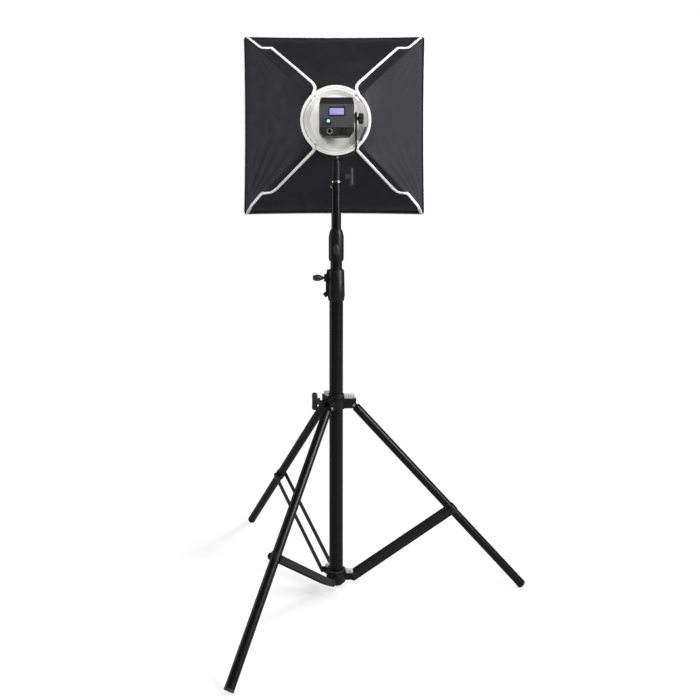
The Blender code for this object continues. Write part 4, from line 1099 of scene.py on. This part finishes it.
def lamp_details():
    """Small parts on the rear cover: four screws, and the mark on the power switch."""
    low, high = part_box("lamp_rear_panel")
    head = mm((0, -0.3), (0.9, -0.3), (1.1, 0.25), (2.0, 0.2), (2.2, -0.4), (0, -0.4))
    shape = bmesh.new()
    for x, z in mm((-37, 26), (37, 26), (-37, -22), (37, -22)):
        at = Vector((x, low.y, (low.z + high.z) / 2 + z))
        turned(shape, head, facing((0, -1, 0), at), 24)
    add_piece("cover_screws", shape, CONTROL, "lamp", 30)
    low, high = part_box("power_switch")
    at = Vector((high.x - 4.5 * MM, low.y + 1.1 * MM, (low.z + high.z) / 2 + 1.2 * MM))
    dome = mm((0, 0.5), (0.8, 0.4), (1.1, 0), (1.1, -1), (0, -1))
    shape = bmesh.new()
    turned(shape, dome, facing((0, -0.95, -0.3), at), 24)
    add_piece("switch_mark", shape, NYLON, "switch", 60)


# -------- stage

WHITE = 1.0


def stage():
    """A pale floor that takes the object's shadow. The camera sees it brightened almost to white."""
    below = (0, 0, FLOOR_Z - 0.5 * MM)
    bpy.ops.mesh.primitive_circle_add(vertices=96, radius=40, fill_type="NGON", location=below)
    floor = bpy.context.object
    floor.name = "floor"
    paint = Paint("pale_floor")
    x, y, _ = paint.axes()
    paint.patchy(3, 0.7, 0.8)
    seen = paint.node("LightPath").outputs["Is Camera Ray"]
    paint.tint(seen, (0.24, 0.24, 0.24), (0.86, 0.86, 0.86))
    white = paint.node("Emission", {"Color": (1, 1, 1), "Strength": WHITE}).outputs[0]
    fade = paint.times(seen, paint.span(paint.reach(x, y), 0.0, 1.5, 0.45, 1.0))
    mixed = paint.node("MixShader", {0: fade, 1: paint.shader.outputs[0], 2: white}).outputs[0]
    output = next(n for n in paint.tree.nodes if n.type == "OUTPUT_MATERIAL")
    paint.put(output.inputs["Surface"], mixed)
    floor.data.materials.append(paint.material)


def backdrop():
    """A white background for the camera. The object is lit by a dim grey one and reflects a dark one."""
    world = bpy.data.worlds.new("studio")
    bpy.context.scene.world = world
    world.use_nodes = True
    nodes, links = world.node_tree.nodes, world.node_tree.links
    nodes.clear()
    path = nodes.new("ShaderNodeLightPath")
    shader = None
    for strength, ray in ((0.27, None), (0.05, "Is Glossy Ray"), (WHITE, "Is Camera Ray")):
        background = nodes.new("ShaderNodeBackground")
        background.inputs["Color"].default_value = (1, 1, 1, 1)
        background.inputs["Strength"].default_value = strength
        if ray:
            mix = nodes.new("ShaderNodeMixShader")
            links.new(path.outputs[ray], mix.inputs[0])
            links.new(shader.outputs[0], mix.inputs[1])
            links.new(background.outputs[0], mix.inputs[2])
            background = mix
        shader = background
    output = nodes.new("ShaderNodeOutputWorld")
    links.new(shader.outputs[0], output.inputs["Surface"])


def soft_light(name, azimuth, distance, height, size, power, shine=True):
    """An area light that faces the stand. Azimuth 0 is at the camera, and it grows towards +X. Without shine
    it isn't mirrored in glossy parts."""
    data = bpy.data.lights.new(name, "AREA")
    data.shape = "RECTANGLE"
    data.size, data.size_y = size
    data.energy = power
    light = new_object(name, data)
    light.visible_glossy = shine
    turn = math.radians(azimuth)
    light.location = (distance * math.sin(turn), -distance * math.cos(turn), height)
    aim = Vector((0, 0, min(height, 0.8)))
    light.rotation_euler = (aim - light.location).to_track_quat("-Z", "Y").to_euler()


def lights():
    soft_light("key", 61, 2.6, 1.9, (0.6, 2.0), 88)
    soft_light("left_fill", -100, 2.4, 1.0, (0.5, 2.0), 12)
    soft_light("front", -12, 3.0, 2.3, (2.4, 1.2), 92, shine=False)
    soft_light("back_fill", 130, 3.0, 1.7, (0.8, 1.2), 110, shine=False)


def camera():
    """A nearly level view from behind the softbox, with the lens shifted to take in the feet."""
    data = bpy.data.cameras.new("camera")
    view = new_object("camera", data)
    home = new_object("camera_home", None)
    for item in (view, home):
        item.location = (-0.0491, -2.012, 1.0139)
    view.rotation_euler = (math.radians(90 - 0.85), 0, 0)
    data.sensor_width = 36
    data.lens = 40.64
    shift_at_home(view, home, "shift_x", 0.0472)
    shift_at_home(view, home, "shift_y", -0.2157)
    bpy.context.scene.camera = view


def shift_at_home(view, home, shift, amount):
    """Shifts the lens while the camera is at home. It fades to 0 over 50 mm, so that the object stays in the
    middle of a view from anywhere else."""
    setattr(view.data, shift, amount)
    curve = view.data.driver_add(shift)
    curve.modifiers.remove(curve.modifiers[0])
    curve.driver.type = "SUM"
    moved = curve.driver.variables.new()
    moved.type = "LOC_DIFF"
    moved.targets[0].id = view
    moved.targets[1].id = home
    for distance, value in ((0.0, amount), (50 * MM, 0.0)):
        curve.keyframe_points.insert(distance, value).interpolation = "LINEAR"


def set_colour():
    settings = bpy.context.scene.view_settings
    settings.view_transform = "Standard"
    settings.look = "None"


dress_frame()
cover = softbox_cover()
piping(cover)
rim_hem()
front_cloth()
speedring()
hand_knobs()
collar_blocks()
base_seal()
lever_channel()
dial()
lamp_details()
stage()
backdrop()
lights()
camera()
set_colour()
